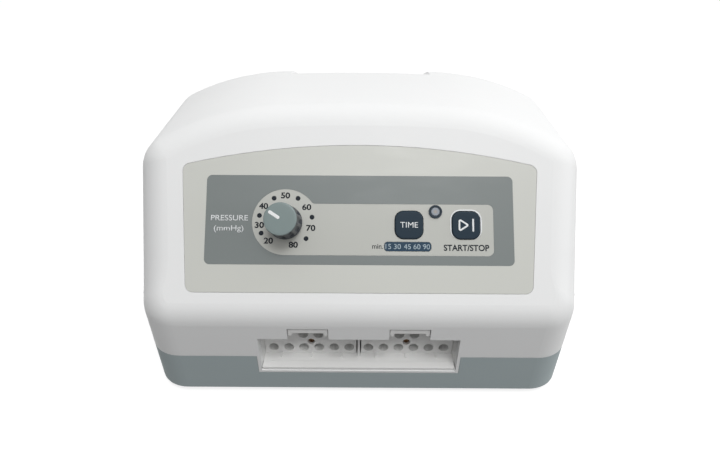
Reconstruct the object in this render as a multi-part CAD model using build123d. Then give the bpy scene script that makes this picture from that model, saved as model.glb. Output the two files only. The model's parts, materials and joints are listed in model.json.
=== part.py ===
from build123d import *
import math
import os

# Desktop compression therapy pump: a hollow two-part case, a leaning control panel, two
# eight-way hose port blocks in the front wall, and the air pump and valve gear inside.
# Millimetres. +Z up, +X right and +Y to the rear as the user faces the front.
# The origin is under the middle of the case, on the table.
# "Depth" is the distance behind the lower front wall; "up" is the distance up the panel
# from the crease at its foot.

# ---- fits ----
slip = 0.3                    # round pieces that pass through or drop into a hole
running = 0.05                # round a turning shaft
snug = 0.02                   # round a shaft or pin that is held tight
over = 1.0                    # how far a cutter stands out of what it cuts

# ---- case ----
case_depth = 174.5            # lower front wall to rear wall
front_half_width = 125.5      # where the planes of the front wall and a side wall meet
side_flare = 6.0              # degrees that each side wall opens towards the rear
case_top = 158.8              # table to the middle of the roof
crown_rest_width = 83.5       # from the end of the nearly flat crown to the side wall
crown_angle = 2.5             # half the angle that the crown's arc spans
roof_side_radius = 188.0      # roof from the crown down to the shoulder
roof_over_angle = 36.0        # the roof curve is drawn past the side wall, up to this slope
wall = 2.6
corner_radius = 21.8          # upright front corners
edge_radius = 21.5            # round the panel and along the shoulders
rear_edge_radius = 8.0        # all round the rear wall
rear_land = 12.0              # last stretch of the roof, straight across the rear edge
seam_height = 31.9
base_underside = 3.0
base_edge = 1.6
lip_height = 4.0              # lip of the base that stands inside the cover
lip_root = 4.0                # how far below the seam the lip starts
lip_thickness = 1.6
foot_radius = 9.0
foot_recess = 1.0
foot_inset = 34.0             # from the side wall
foot_depth_inset = 30.0       # from the front and rear walls

# ---- case screws ----
screw_inset = 14.0            # from the outside of the side wall
screw_depth_inset = 18.0      # from the front and rear walls
post_radius = 5.0
post_top = 12.0
boss_half = 4.2               # half the side of a square boss
front_boss_top = 66.0
rear_boss_top = 100.0
boss_rib = 2.0
case_screw_radius = 1.8
case_screw_head = 3.5
case_screw_head_thickness = 2.4
case_screw_length = 20.0
case_screw_sunk = 1.0         # underside of the base to the head

# ---- panel ----
panel_foot = 63.0             # table to the crease between front wall and panel
panel_lean = 37.3             # degrees back from upright
overlay_thickness = 0.5
overlay_gap = 0.15
overlay_bottom = 13.4
overlay_top = 97.9
overlay_half_width = 96.4     # at the crease; the sides flare with the case
overlay_arch_radius = 443.0
overlay_corner_radius = 4.5

# ---- dial and knob ----
dial_x = -42.1
dial_up = 52.9
knob_lift = 0.8               # overlay to the underside of the skirt
knob_height = 18.2
knob_face_radius = 9.8
knob_skirt_radius = 10.9
knob_skirt_height = 2.6
knob_edge = 0.6
knob_rim = 2.2                # plain band under the face, above the flutes
knob_flutes = 12
flute_radius = 2.0
flute_bite = 0.9
pointer_angle = 56.6          # degrees left of straight up
pointer_length = 8.6
pointer_width = 1.8
pointer_depth = 0.8
pointer_proud = 0.1
shaft_radius = 3.0
shaft_grip = 10.5             # length of shaft inside the knob
shaft_tail = 4.0              # length of shaft inside the potentiometer
bushing_radius = 3.5
bushing_reach = 4.6           # above the panel
nut_across_flats = 10.0
nut_thickness = 2.2
potentiometer_size = 16.0
potentiometer_height = 8.5

# ---- keys, lamp and time window ----
key_size = 15.9
key_corner = 4.9
key_edge = 0.5
key_up = 51.85
time_key_x = 28.1
start_key_x = 60.4
key_proud = 0.9
key_travel = 1.0
key_flange = 0.9              # how far the hidden flange reaches past the cap
key_flange_thickness = 1.2
key_rest_gap = 0.1            # flange to the underside of the panel
key_stem = 4.0                # side of the square stem
switch_can = 6.2
switch_can_height = 3.6
plunger_radius = 1.7
plunger_height = 0.8
lamp_x = 43.1
lamp_up = 59.5
lamp_ring_radius = 3.8
lamp_barrel_radius = 3.2
lamp_ring_proud = 0.7
lamp_pipe_radius = 2.55
lamp_edge = 0.4
window_x = 27.3
window_up = 39.55
window_length = 26.8
window_height = 5.5
window_corner = 2.0
window_ledge = 0.9
time_steps = 5
baffle_wall = 0.8
led_size = 2.0
led_height = 0.9

# ---- control board ----
board_drop = 13.0             # panel surface to the top of the board
board_thickness = 1.6
board_left = -66.0
board_right = 76.0
board_low = 27.0
board_high = 78.0
board_screw_inset = 4.5
board_boss = 6.0              # side of a square boss
small_screw_radius = 1.25
small_screw_head = 2.5
small_screw_head_thickness = 1.7
small_screw_length = 8.0

# ---- port recess ----
port_half_width = 60.3
port_bottom = 18.3
port_top = 45.7
port_rim_side = 1.8
port_rim_bottom = 1.6
port_gap = 0.15               # surround to the cut-out in the base
surround_depth = 5.6
sill_height = 21.9
tray_floor = 21.5
tray_thickness = 1.4
tray_side = 1.4
tray_front = 0.6
tray_gap = 0.2
face_depth = 12.8             # front wall to the face of the port blocks
divider_thickness = 1.4
divider_front = 10.0
divider_slit = 0.8
notch_width = 23.6
notch_top = 53.7
coding_rib = 1.0
coding_rib_length = 3.9
coding_rib_height = 0.8

# ---- port blocks ----
port_pitch = 9.35
port_columns = 6
port_first_x = 5.9
port_row_low = 26.4
port_row_high = 37.2
port_radius = 3.05
port_bore_depth = 12.0        # the bores pass through the block, to the manifold
air_way_half = 1.3            # half the side of a square air way
block_top = 46.4
block_screw_z = 31.2
block_screw_radius = 1.5
block_screw_head = 2.1
block_screw_head_thickness = 1.6
block_screw_sunk = 2.0
block_screw_bite = 7.0        # length of screw inside the manifold

# ---- port catches ----
catch_gap = 0.5               # bar to the edges of the notch
catch_front = 0.4
catch_bar = 2.9
catch_leg_width = 2.3
catch_leg_round = 0.9
catch_leg_drop = 2.0
catch_plate_front = 3.4
catch_plate = 2.0
catch_plate_width = 16.0
catch_pivot_depth = 6.2
catch_pivot_z = 59.2
catch_barrel_radius = 2.3
catch_pin_radius = 1.2
catch_ear = 2.0
catch_throw = 12.0            # degrees that the bar can be pressed in

# ---- air manifold and distributor ----
manifold_thickness = 21.0
gallery_depth = 6.0
sensor_x = 30.0
sensor_length = 12.0
sensor_width = 8.0
sensor_height = 5.0
spigot_half = 1.2             # half the side of the sensor's square spigot
distributor_z = 37.0
distributor_half = 27.0       # half the side of the square housing
distributor_bore = 23.0
distributor_length = 14.0
distributor_ports = 8
distributor_port_circle = 15.0
flange_thickness = 4.0
rotor_radius = 21.0
rotor_thickness = 7.0
rotor_gap = 0.3
rotor_slot_width = 5.0
rotor_slot_angle = 100.0
motor_radius = 24.0
motor_length = 20.0
motor_shaft_length = 8.0
nipple_radius = 2.8
nipple_length = 8.0
nipple_bore = 1.4
nipple_root = 2.0             # how far a nipple starts inside its block

# ---- compressor ----
pump_x = 80.0
pump_to_rear = 56.5           # pump's middle to the rear wall
pump_axis_z = 48.0
pump_half_length = 30.0       # middle to the outside of an end plate
pump_plate = 3.0
pump_floor_z = 18.0
pump_floor_half_depth = 29.0
mount_half = 5.5              # half the side of a square rubber block
mount_post = 4.5              # half the side of the post under it
mount_spacing_x = 25.0        # from the pump's middle
mount_spacing_y = 21.0
mount_seat = 9.0
head_size = 46.0
head_length = 15.0
cavity_half = 14.0            # half the side of the square pumping chamber
head_cavity = 9.0
diaphragm_half = 22.0         # half the side of a square rubber sheet
diaphragm_thickness = 2.0
diaphragm_window = 13.0       # half the side of the window behind a diaphragm
armature_stroke = 1.5
stroke_room = 0.2             # spare beyond the stroke
armature_half_length = 23.0
armature_thickness = 5.0
armature_height = 22.0
armature_rod = 3.0
armature_washer = 8.0
armature_nut = 10.0           # across flats
washer_thickness = 1.5
core_length = 36.0
core_height = 30.0
core_thickness = 13.0
core_gap = 1.2                # armature to the pole faces
core_slot = 6.0
core_leg = 8.0                # half width of the middle leg
coil_overhang = 5.0
coil_clear = 0.3
rail_half = 4.0               # half the side of the square rail
rail_cup = 1.0                # the cups over the nipples stand out by this
rail_cup_depth = 3.0
rail_z = 80.0
hose_radius = 4.2
hose_rise = 106.0

# ---- filter pad behind the vents ----
filter_margin = 4.0           # past the slots
filter_thickness = 6.0
filter_frame = 1.4
filter_lip = 2.0

# ---- mains side ----
rear_flange = 2.0             # what stands proud of the rear wall
mains_z = 62.0
inlet_x = -84.0
inlet_flange_x = 48.0
inlet_flange_z = 26.0
inlet_body_x = 28.0
inlet_body_z = 20.4
inlet_socket_x = 24.2
inlet_socket_z = 16.6
inlet_corner_cut = 4.0
inlet_socket_depth = 15.0
inlet_body_length = 20.0
pin_length = 11.0
pin_width = 4.0
pin_thickness = 2.0
pin_spread = 7.0
pin_raise = 2.0
inlet_screw_spread = 20.0
inlet_screw_head = 2.8
inlet_screw_head_thickness = 1.2
fuse_x = -49.0
fuse_cap_radius = 6.4
fuse_body_radius = 5.6
fuse_body_length = 24.0
switch_x = -27.0
switch_frame_x = 15.0
switch_frame_z = 21.4
switch_frame_proud = 1.5
switch_body_x = 12.8
switch_body_z = 19.2
switch_well_x = 10.4
switch_well_z = 16.4
switch_well_depth = 9.0
switch_body_length = 16.0
rocker_x = 9.8
rocker_half = 7.4
rocker_tip = 3.8              # outward from the pin, level
rocker_valley = 2.5
rocker_foot = 2.4
rocker_edge = 0.6
rocker_pivot_inset = 3.2
rocker_pin_radius = 1.2
rocker_throw = 20.0           # degrees from one side to the other

# ---- transformer and power board ----
transformer_x = -88.0
transformer_to_rear = 62.5    # transformer's middle to the rear wall
transformer_length = 60.0
transformer_height = 50.0
transformer_stack = 28.0
transformer_leg = 9.0         # half width of the middle leg
transformer_window = 10.0
transformer_window_height = 30.0
winding_depth = 46.0
winding_clear = 0.3
transformer_seat = 9.0
power_board_left = -116.0
power_board_right = -68.0
power_board_front = 30.0
power_board_gap = 9.0         # to the transformer's winding
power_board_z = 14.0
power_board_post = 3.2
power_board_inset = 5.0
capacitor_radius = 7.0
capacitor_height = 22.0
capacitor_spread = 8.0        # from the middle of the board
heat_sink_height = 24.0
heat_sink_width = 20.0
heat_sink_back = 2.0
heat_sink_fins = 5
heat_sink_fin = 7.0           # how far a fin stands out of the back
fin_half = 0.6

# ---- rear vents and hand grip ----
vent_x = 78.0
vent_z = 66.0
vent_count = 12
vent_pitch = 6.0
vent_width = 2.6
vent_height = 34.0
grip_half_width = 52.5
grip_dip = 2.0
grip_land = 16.0
grip_depth = 17.0
grip_low = 122.0
grip_high = 149.0
grip_corner = 5.0

front_y = -(case_depth + rear_flange) / 2
rear_y = front_y + case_depth
flare_slope = math.tan(math.radians(side_flare))
lean = math.radians(panel_lean)
block_middle = port_first_x + port_pitch * (port_columns - 1) / 2
block_rear = face_depth + port_bore_depth
inlet_screw_seat = case_depth + rear_flange - inlet_screw_head_thickness
hose_bend = 0.45 * (hose_rise - rail_z - rail_half)
block_screw_seat = face_depth + block_screw_sunk + block_screw_head_thickness
case_screw_seat = base_underside + case_screw_sunk + case_screw_head_thickness
manifold_rear = block_rear + manifold_thickness
pump_depth = case_depth - pump_to_rear
transformer_depth = case_depth - transformer_to_rear
power_board_rear = transformer_depth - winding_depth / 2 - power_board_gap
sides = (-1, 1)
inlet_screw_places = [inlet_x + side * inlet_screw_spread for side in sides]


def at_depth(distance):
    """Y of a plane this far behind the lower front wall."""
    return front_y + distance


def side_x(distance):
    """Half width of the case this far behind the front wall."""
    return front_half_width + distance * flare_slope


def box(x0, x1, y0, y1, z0, z1):
    """A box between two corners."""
    middle = ((x0 + x1) / 2, (y0 + y1) / 2, (z0 + z1) / 2)
    return Pos(*middle) * Box(abs(x1 - x0), abs(y1 - y0), abs(z1 - z0))


def pillar(x, y, half_x, half_y, low, high):
    """A box about an upright line."""
    return box(x - half_x, x + half_x, y - half_y, y + half_y, low, high)


def rod(radius, start, end):
    """A round bar between two points."""
    a, b = Vector(*start), Vector(*end)
    return extrude(Plane(a, z_dir=b - a) * Circle(radius), (b - a).length)


def upright(radius, x, y, low, high):
    return rod(radius, (x, y, low), (x, y, high))


def level(radius, x, z, front, rear):
    """A round bar along the depth of the case, from one depth to another."""
    return rod(radius, (x, at_depth(front), z), (x, at_depth(rear), z))


panel = Plane(
    origin=(0, front_y, panel_foot),
    x_dir=(1, 0, 0),
    z_dir=(0, -math.cos(lean), math.sin(lean)),
)


def on_panel(x, up, height=0.0):
    """A plane level with the panel, at a place on it."""
    return panel * Pos(x, up, height)


# ---------------------------------------------------------------- case form
def roof_section(distance, inset):
    """The roof's outline across at one distance from the front, running past the side walls."""
    crown_half = side_x(distance) - crown_rest_width
    angle = math.radians(crown_angle)
    last = math.radians(roof_over_angle)
    top = case_top - inset
    crown_radius = crown_half / math.sin(angle) - inset
    side_radius = roof_side_radius - inset
    crown = (crown_radius * math.sin(angle), top - crown_radius * (1 - math.cos(angle)))
    centre = (crown[0] - side_radius * math.sin(angle), crown[1] - side_radius * math.cos(angle))

    def side_point(turn):
        return centre[0] + side_radius * math.sin(turn), centre[1] + side_radius * math.cos(turn)

    half_way, eaves = side_point((angle + last) / 2), side_point(last)
    floor_z = base_underside + inset

    def left(point):
        return -point[0], point[1]

    outline = [
        Line((-eaves[0], floor_z), (eaves[0], floor_z)),
        Line((eaves[0], floor_z), eaves),
        ThreePointArc(eaves, half_way, crown),
        ThreePointArc(crown, (0, top), left(crown)),
        ThreePointArc(left(crown), left(half_way), left(eaves)),
        Line(left(eaves), (-eaves[0], floor_z)),
    ]
    across = Plane(origin=(0, at_depth(distance), 0), x_dir=(1, 0, 0), z_dir=(0, -1, 0))
    return across * make_face(Wire(outline))


def plan_outline(inset, rear_radius=0.0):
    """The case's outline from above: wider at the rear, with rounded front corners."""
    front, rear = at_depth(inset), at_depth(case_depth - inset)
    sideways = inset / math.cos(math.radians(side_flare))
    front_half, rear_half = side_x(inset) - sideways, side_x(case_depth - inset) - sideways
    corners = [(-front_half, front), (front_half, front), (rear_half, rear), (-rear_half, rear)]
    plan = make_face(Polyline(*corners, close=True))
    plan = fillet(plan.vertices().group_by(Axis.Y)[0], corner_radius - inset)
    if rear_radius:
        plan = fillet(plan.vertices().group_by(Axis.Y)[-1], rear_radius)
    return plan


def soften(edges, radius, inset):
    """Rounds the outside; inside, cuts the flat that touches the same rounding."""
    if inset == 0:
        return fillet(edges, radius)
    return chamfer(edges, (radius - inset) * (2 - math.sqrt(2)))


def case_form(inset):
    """The closed outer form, or the plainer hollow in it, with every wall moved in by inset."""
    floor_z = base_underside + inset
    form = Pos(0, 0, floor_z) * extrude(plan_outline(inset), case_top)
    last_section = roof_section(case_depth - rear_land, inset)
    roof = loft([roof_section(-over, inset), last_section], ruled=True)
    roof = roof + extrude(last_section, rear_land + over, dir=(0, 1, 0))
    above_panel = panel * Pos(0, 0, -inset) * extrude(Rectangle(4 * case_depth, 4 * case_depth), case_top)
    form = (form & roof) - above_panel
    panel_face = form.faces().filter_by(lambda f: (f.normal_at() - panel.z_dir).length < 1e-3)[0]
    shoulders = form.edges().filter_by(
        lambda e: e.center().Z > seam_height
        and abs(e.center().X) > front_half_width
        and abs(e.tangent_at(0.5).Y) > 0.9
    )
    form = soften(panel_face.edges() + shoulders, edge_radius, inset)
    rear_face = form.faces().sort_by(Axis.Y)[-1]
    rear_loop = rear_face.edges().filter_by(lambda e: e.center().Z > floor_z + over)
    return soften(rear_loop, rear_edge_radius, inset)


outer_form = case_form(0)
inner_form = case_form(wall)
everything = 2 * case_depth
above_seam = box(-everything, everything, -everything, everything, seam_height, everything)
below_seam = box(-everything, everything, -everything, everything, 0, seam_height)


def screw_places():
    """The four case screws: x, depth and the top of the boss above."""
    rear = case_depth - screw_depth_inset
    for depth, top in ((screw_depth_inset, front_boss_top), (rear, rear_boss_top)):
        for side in sides:
            yield side * (side_x(depth) - screw_inset), depth, top


def foot_places():
    """The four feet: x and depth."""
    for depth in (foot_depth_inset, case_depth - foot_depth_inset):
        for side in sides:
            yield side * (side_x(depth) - foot_inset), depth


# ---------------------------------------------------------------- openings in the panel
def overlay_outline(grow):
    """The overlay's outline on the panel: sides parallel to the case, an arched top edge."""
    spread = flare_slope * math.sin(lean)
    low, high = overlay_bottom - grow, 2 * overlay_top
    half_low = overlay_half_width + spread * low + grow
    half_high = overlay_half_width + spread * high + grow
    corners = [(-half_low, low), (half_low, low), (half_high, high), (-half_high, high)]
    field = make_face(Polyline(*corners, close=True))
    arch_radius = overlay_arch_radius + grow
    arch = Pos(0, overlay_top - overlay_arch_radius) * Circle(arch_radius)
    outline = field & arch
    return fillet(outline.vertices(), overlay_corner_radius + grow)


def window_outline(grow):
    """The time window's outline."""
    return RectangleRounded(window_length + 2 * grow, window_height + 2 * grow, window_corner + grow)


def key_outline(grow):
    """A key cap's outline."""
    return RectangleRounded(key_size + 2 * grow, key_size + 2 * grow, key_corner + grow)


def panel_cut(outline, x, up, depth, top=over):
    """A cutter through the panel from a little above it."""
    return on_panel(x, up, -depth) * extrude(outline, depth + top)


key_places = {"time_key": time_key_x, "start_stop_key": start_key_x}


def board_screw_places():
    """The control board's four screws: x and up."""
    for x in (board_left + board_screw_inset, board_right - board_screw_inset):
        for up in (board_low + board_screw_inset, board_high - board_screw_inset):
            yield x, up


# ---------------------------------------------------------------- top cover
def grip_pocket(grow):
    """The finger space in the rear wall."""
    half = grip_half_width + grow
    pocket = box(
        -half, half, rear_y - grip_depth - grow, rear_y + wall, grip_low - grow, grip_high + grow
    )
    inner_edges = pocket.edges().filter_by(Axis.Z).group_by(Axis.Y)[0]
    return fillet(inner_edges, grip_corner + grow)


def grip_dip_cutter():
    """Lowers the roof's rear edge a little, with sloped ends, over the finger space."""
    reach = 3 * grip_dip
    low, high = case_top - reach, case_top + reach
    ends = Polyline(
        (-grip_half_width + reach, low),
        (grip_half_width - reach, low),
        (grip_half_width + reach, high),
        (-grip_half_width - reach, high),
        close=True,
    )
    across = Plane(origin=(0, rear_y + wall, 0), x_dir=(1, 0, 0), z_dir=(0, -1, 0))
    band = extrude(across * make_face(ends), grip_land + wall)
    return band - Pos(0, 0, -grip_dip) * outer_form


def notch_cutter(side):
    """The notch in the cover's front wall over one port block."""
    middle = side * block_middle
    half, rear = notch_width / 2, at_depth(wall + over)
    return box(middle - half, middle + half, front_y - over, rear, port_top - over, notch_top)


def catch_room(side):
    """Flattens the inside of the front wall behind one catch."""
    middle, half = side * block_middle, catch_plate_width / 2 + slip
    top = catch_pivot_z + catch_barrel_radius + slip
    return box(middle - half, middle + half, at_depth(wall), at_depth(catch_pivot_depth), notch_top, top)


def make_top_cover():
    grip_block = box(
        -grip_half_width - wall,
        grip_half_width + wall,
        rear_y - grip_depth - wall,
        rear_y,
        grip_low - wall,
        case_top,
    )
    cover = (outer_form & above_seam) - (inner_form - grip_block)
    cover = cover - grip_pocket(0) - grip_dip_cutter()
    surround = box(
        -port_half_width, port_half_width, front_y, at_depth(surround_depth), port_bottom, port_top
    )
    opening_half = port_half_width - port_rim_side
    opening = box(
        -opening_half, opening_half, front_y - over, at_depth(surround_depth + over),
        port_bottom + port_rim_bottom, port_top,
    )
    cover = cover + surround - opening
    for side in sides:
        cover = cover - notch_cutter(side) - catch_room(side)
    for x, depth, top in screw_places():
        low = post_top + slip
        y = at_depth(depth)
        boss = pillar(x, y, boss_half, boss_half, low, top)
        wall_x = math.copysign(side_x(depth) - wall / 2, x)
        half_rib = boss_rib / 2
        rib_low = seam_height + lip_height + slip
        rib = box(x, wall_x, y - half_rib, y + half_rib, rib_low, top)
        hole = upright(case_screw_radius + snug, x, y, low - over, low + case_screw_length)
        cover = cover + boss + rib - hole
    ear_rear = at_depth(catch_pivot_depth + catch_barrel_radius)
    for side in sides:
        for end in sides:
            inner = side * block_middle + end * (catch_plate_width / 2 + slip)
            ear = box(
                inner, inner + end * catch_ear, at_depth(wall / 2), ear_rear,
                catch_pivot_z - catch_barrel_radius, catch_pivot_z + catch_barrel_radius,
            )
            cover = cover + ear
        reach = catch_plate_width / 2 + slip + catch_ear + over
        cover = cover - rod(
            catch_pin_radius + snug,
            (side * block_middle - reach, at_depth(catch_pivot_depth), catch_pivot_z),
            (side * block_middle + reach, at_depth(catch_pivot_depth), catch_pivot_z),
        )
    for x, up in board_screw_places():
        seat = on_panel(x, up, -board_drop)
        boss = seat * extrude(Rectangle(board_boss, board_boss), board_drop - wall / 2)
        hole = seat * extrude(Circle(small_screw_radius + snug), small_screw_length)
        cover = cover + boss - hole
    cover = cover - panel_cut(overlay_outline(overlay_gap), 0, 0, overlay_thickness)
    cover = cover - panel_cut(Circle(bushing_radius + slip), dial_x, dial_up, 2 * wall)
    cover = cover - panel_cut(Circle(lamp_barrel_radius + slip / 2), lamp_x, lamp_up, 2 * wall)
    for x in key_places.values():
        cover = cover - panel_cut(key_outline(slip), x, key_up, 2 * wall)
    cover = cover - panel_cut(window_outline(-window_ledge), window_x, window_up, 2 * wall)
    cover = cover + make_filter_frame()
    for i in range(vent_count):
        x = vent_x + (i - (vent_count - 1) / 2) * vent_pitch
        cover = cover - box(
            x - vent_width / 2, x + vent_width / 2, rear_y - 2 * wall, rear_y + over,
            vent_z - vent_height / 2, vent_z + vent_height / 2,
        )
    for width, height, x in (
        (inlet_body_x, inlet_body_z, inlet_x),
        (switch_body_x, switch_body_z, switch_x),
    ):
        half_x, half_z = width / 2 + slip, height / 2 + slip
        cover = cover - box(
            x - half_x, x + half_x, rear_y - 2 * wall, rear_y + over, mains_z - half_z, mains_z + half_z
        )
    inside, outside = case_depth - 2 * wall, case_depth + over
    cover = cover - level(fuse_body_radius + slip, fuse_x, mains_z, inside, outside)
    for x in inlet_screw_places:
        cover = cover - level(small_screw_radius + snug, x, mains_z, inside, outside)
    return cover


# ---------------------------------------------------------------- base tray
def standing_posts():
    """The square posts on the base's floor: half the side, x, depth and top."""
    for x, depth in mount_places():
        yield mount_post, x, depth, mount_seat
    for x in (power_board_left + power_board_inset, power_board_right - power_board_inset):
        for depth in (power_board_front + power_board_inset, power_board_rear - power_board_inset):
            yield power_board_post, x, depth, power_board_z


def make_base_tray():
    shell = outer_form & below_seam
    underside = shell.faces().sort_by(Axis.Z)[0]
    shell = chamfer(underside.edges(), base_edge) - inner_form
    inside_lip = wall + slip + lip_thickness
    lip_low, lip_high = seam_height - lip_root, seam_height + lip_height

    def band(inset, low, high):
        return Pos(0, 0, low) * extrude(plan_outline(inset, rear_edge_radius - inset), high - low)

    root = band(wall / 2, lip_low, seam_height) - band(inside_lip, lip_low, seam_height)
    lip = band(wall + slip, seam_height, lip_high) - band(inside_lip, seam_height, lip_high)
    clear_of_ports = port_half_width + tray_side + 2 * slip
    front_room = box(-clear_of_ports, clear_of_ports, front_y, at_depth(block_rear), lip_low, lip_high)
    shell = shell + (root - front_room) + (lip - front_room)
    cut_half = port_half_width + port_gap
    cut_depth = at_depth(surround_depth + port_gap)
    cut_low, cut_high = port_bottom - port_gap, seam_height + over
    shell = shell - box(-cut_half, cut_half, front_y - over, cut_depth, cut_low, cut_high)
    floor_z = base_underside + wall
    for half, x, depth, top in standing_posts():
        shell = shell + pillar(x, at_depth(depth), half, half, floor_z - wall / 2, top)
    for x, depth in foot_places():
        foot_room = base_underside + foot_recess
        shell = shell - upright(foot_radius + slip, x, at_depth(depth), 0, foot_room)
    for x, depth, _ in screw_places():
        y = at_depth(depth)
        post = upright(post_radius, x, y, floor_z - wall / 2, post_top)
        head_room = upright(case_screw_head + slip, x, y, 0, case_screw_seat)
        shank_room = upright(case_screw_radius + slip, x, y, 0, post_top + over)
        shell = shell + post - head_room - shank_room
    for side in sides:
        x = side * block_middle
        for near, far, top in (
            (face_depth, face_depth + wall, tray_floor - tray_thickness),
            (block_rear + wall, manifold_rear - wall, tray_floor),
        ):
            left, right = x - port_pitch, x + port_pitch
            shell = shell + box(left, right, at_depth(near), at_depth(far), floor_z - over, top)
        x, y = transformer_x + side * (transformer_length / 2 - wall), at_depth(transformer_depth)
        shell = shell + pillar(x, y, wall, transformer_stack / 2, floor_z - over, transformer_seat)
    return shell


def make_rubber_feet():
    top = base_underside + foot_recess
    return [upright(foot_radius, x, at_depth(depth), 0, top) for x, depth in foot_places()]


def pan_screw(base, toward, radius, length, head, head_thickness):
    """A round-head screw whose head seats at base and whose shank points toward."""
    start, way = Vector(*base), Vector(*toward).normalized()
    shank = rod(radius, tuple(start), tuple(start + way * length))
    top = rod(head, tuple(start - way * head_thickness), tuple(start))
    return shank + top


def make_case_screws():
    return [
        pan_screw(
            (x, at_depth(depth), case_screw_seat), (0, 0, 1), case_screw_radius, case_screw_length,
            case_screw_head, case_screw_head_thickness,
        )
        for x, depth, _ in screw_places()
    ]


# ---------------------------------------------------------------- control panel
def make_control_overlay():
    sheet = on_panel(0, 0, -overlay_thickness) * extrude(overlay_outline(0), overlay_thickness)
    sheet = sheet - panel_cut(Circle(bushing_radius + 2 * slip), dial_x, dial_up, wall)
    sheet = sheet - panel_cut(Circle(lamp_barrel_radius + slip / 2), lamp_x, lamp_up, wall)
    sheet = sheet - panel_cut(window_outline(0), window_x, window_up, wall)
    for x in key_places.values():
        sheet = sheet - panel_cut(key_outline(slip), x, key_up, wall)
    return sheet


def make_pressure_knob():
    skirt_top = knob_lift + knob_skirt_height
    room = nut_across_flats / math.sqrt(3) + 2 * slip
    room_top = bushing_reach + 2 * slip
    bore = shaft_radius + snug
    bore_top = room_top + shaft_grip + slip
    side_low, side_radius = skirt_top + knob_edge, (knob_skirt_radius + knob_face_radius) / 2
    profile = Polyline(
        (room, knob_lift),
        (knob_skirt_radius, knob_lift),
        (knob_skirt_radius, skirt_top),
        (side_radius, side_low),
        (knob_face_radius, knob_height),
        (0, knob_height),
        (0, bore_top),
        (bore, bore_top),
        (bore, room_top),
        (room, room_top),
        close=True,
    )
    across = Plane(origin=(0, 0, 0), x_dir=(1, 0, 0), z_dir=(0, -1, 0))
    knob = revolve(across * make_face(profile), Axis.Z)
    rim = knob.edges().filter_by(GeomType.CIRCLE).group_by(Axis.Z)[-1]
    knob = chamfer(rim, knob_edge)
    side_slope = (side_radius - knob_face_radius) / (knob_height - side_low)
    foot = (side_radius - flute_bite + flute_radius, 0, side_low)
    head = (knob_face_radius + knob_rim * side_slope + flute_radius, 0, knob_height - knob_rim)
    flute = rod(flute_radius, foot, head)
    for i in range(knob_flutes):
        knob = knob - Rot(0, 0, 360 / knob_flutes * i) * flute
    knob = on_panel(dial_x, dial_up) * knob
    return knob - make_knob_pointer(snug)


def make_knob_pointer(grow=0.0):
    bar = SlotOverall(pointer_length + 2 * grow, pointer_width + 2 * grow)
    place = on_panel(dial_x, dial_up, knob_height - pointer_depth - grow) * Rot(0, 0, 90 + pointer_angle)
    return place * Pos(pointer_length / 2, 0) * extrude(bar, pointer_depth + pointer_proud + grow)


def make_potentiometer_shaft():
    low = -board_drop + potentiometer_height - shaft_tail
    high = bushing_reach + 2 * slip + shaft_grip
    return on_panel(dial_x, dial_up, low) * extrude(Circle(shaft_radius), high - low)


def make_potentiometer():
    can_top = -board_drop + potentiometer_height
    can = on_panel(dial_x, dial_up, -board_drop) * extrude(
        Rectangle(potentiometer_size, potentiometer_size), potentiometer_height
    )
    shoulder = on_panel(dial_x, dial_up, can_top) * extrude(
        Rectangle(nut_across_flats, nut_across_flats), -wall - can_top
    )
    bushing = on_panel(dial_x, dial_up, can_top) * extrude(Circle(bushing_radius), bushing_reach - can_top)
    bore_depth = shaft_tail + slip - can_top
    bore = panel_cut(Circle(shaft_radius + running), dial_x, dial_up, bore_depth, bushing_reach + over)
    return can + shoulder + bushing - bore


def make_potentiometer_nut():
    outline = RegularPolygon(nut_across_flats / 2, 6, major_radius=False) - Circle(bushing_radius + snug)
    return on_panel(dial_x, dial_up) * extrude(outline, nut_thickness)


def make_key(x):
    flange_top = -wall - key_rest_gap
    stem_low = -board_drop + switch_can_height + plunger_height + key_travel + key_rest_gap
    cap = extrude(key_outline(0), key_proud - flange_top)
    top_edges = cap.faces().sort_by(Axis.Z)[-1].edges()
    cap = Pos(0, 0, flange_top) * chamfer(top_edges, key_edge)
    flange_size = key_size + 2 * key_flange
    flange_low = flange_top - key_flange_thickness
    flange = Pos(0, 0, flange_low) * extrude(Rectangle(flange_size, flange_size), key_flange_thickness)
    stem = Pos(0, 0, stem_low) * extrude(Rectangle(key_stem, key_stem), flange_top - stem_low)
    return on_panel(x, key_up) * (cap + flange + stem)


def make_key_switches():
    can = extrude(Rectangle(switch_can, switch_can), switch_can_height)
    plunger = extrude(Circle(plunger_radius), switch_can_height + plunger_height)
    return [on_panel(x, key_up, -board_drop) * (can + plunger) for x in key_places.values()]


def make_lamp_ring():
    barrel = Pos(0, 0, -wall) * extrude(Circle(lamp_barrel_radius), wall)
    ring = extrude(Circle(lamp_ring_radius), lamp_ring_proud)
    bore = Pos(0, 0, -wall) * extrude(Circle(lamp_pipe_radius + slip / 2), wall + lamp_ring_proud + over)
    return on_panel(lamp_x, lamp_up) * (barrel + ring - bore)


def make_lamp_lens():
    low = -board_drop + led_height
    pipe = Pos(0, 0, low) * extrude(Circle(lamp_pipe_radius), lamp_ring_proud - low)
    pipe = chamfer(pipe.faces().sort_by(Axis.Z)[-1].edges(), lamp_edge)
    return on_panel(lamp_x, lamp_up) * pipe


def make_time_window():
    lens = extrude(window_outline(-slip / 2), overlay_thickness)
    return on_panel(window_x, window_up, -overlay_thickness) * lens


def time_cells():
    """Distance of each time lamp from the middle of the window."""
    cell = (window_length - 2 * window_ledge - baffle_wall) / time_steps
    return [(i - (time_steps - 1) / 2) * cell for i in range(time_steps)], cell - baffle_wall


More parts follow.
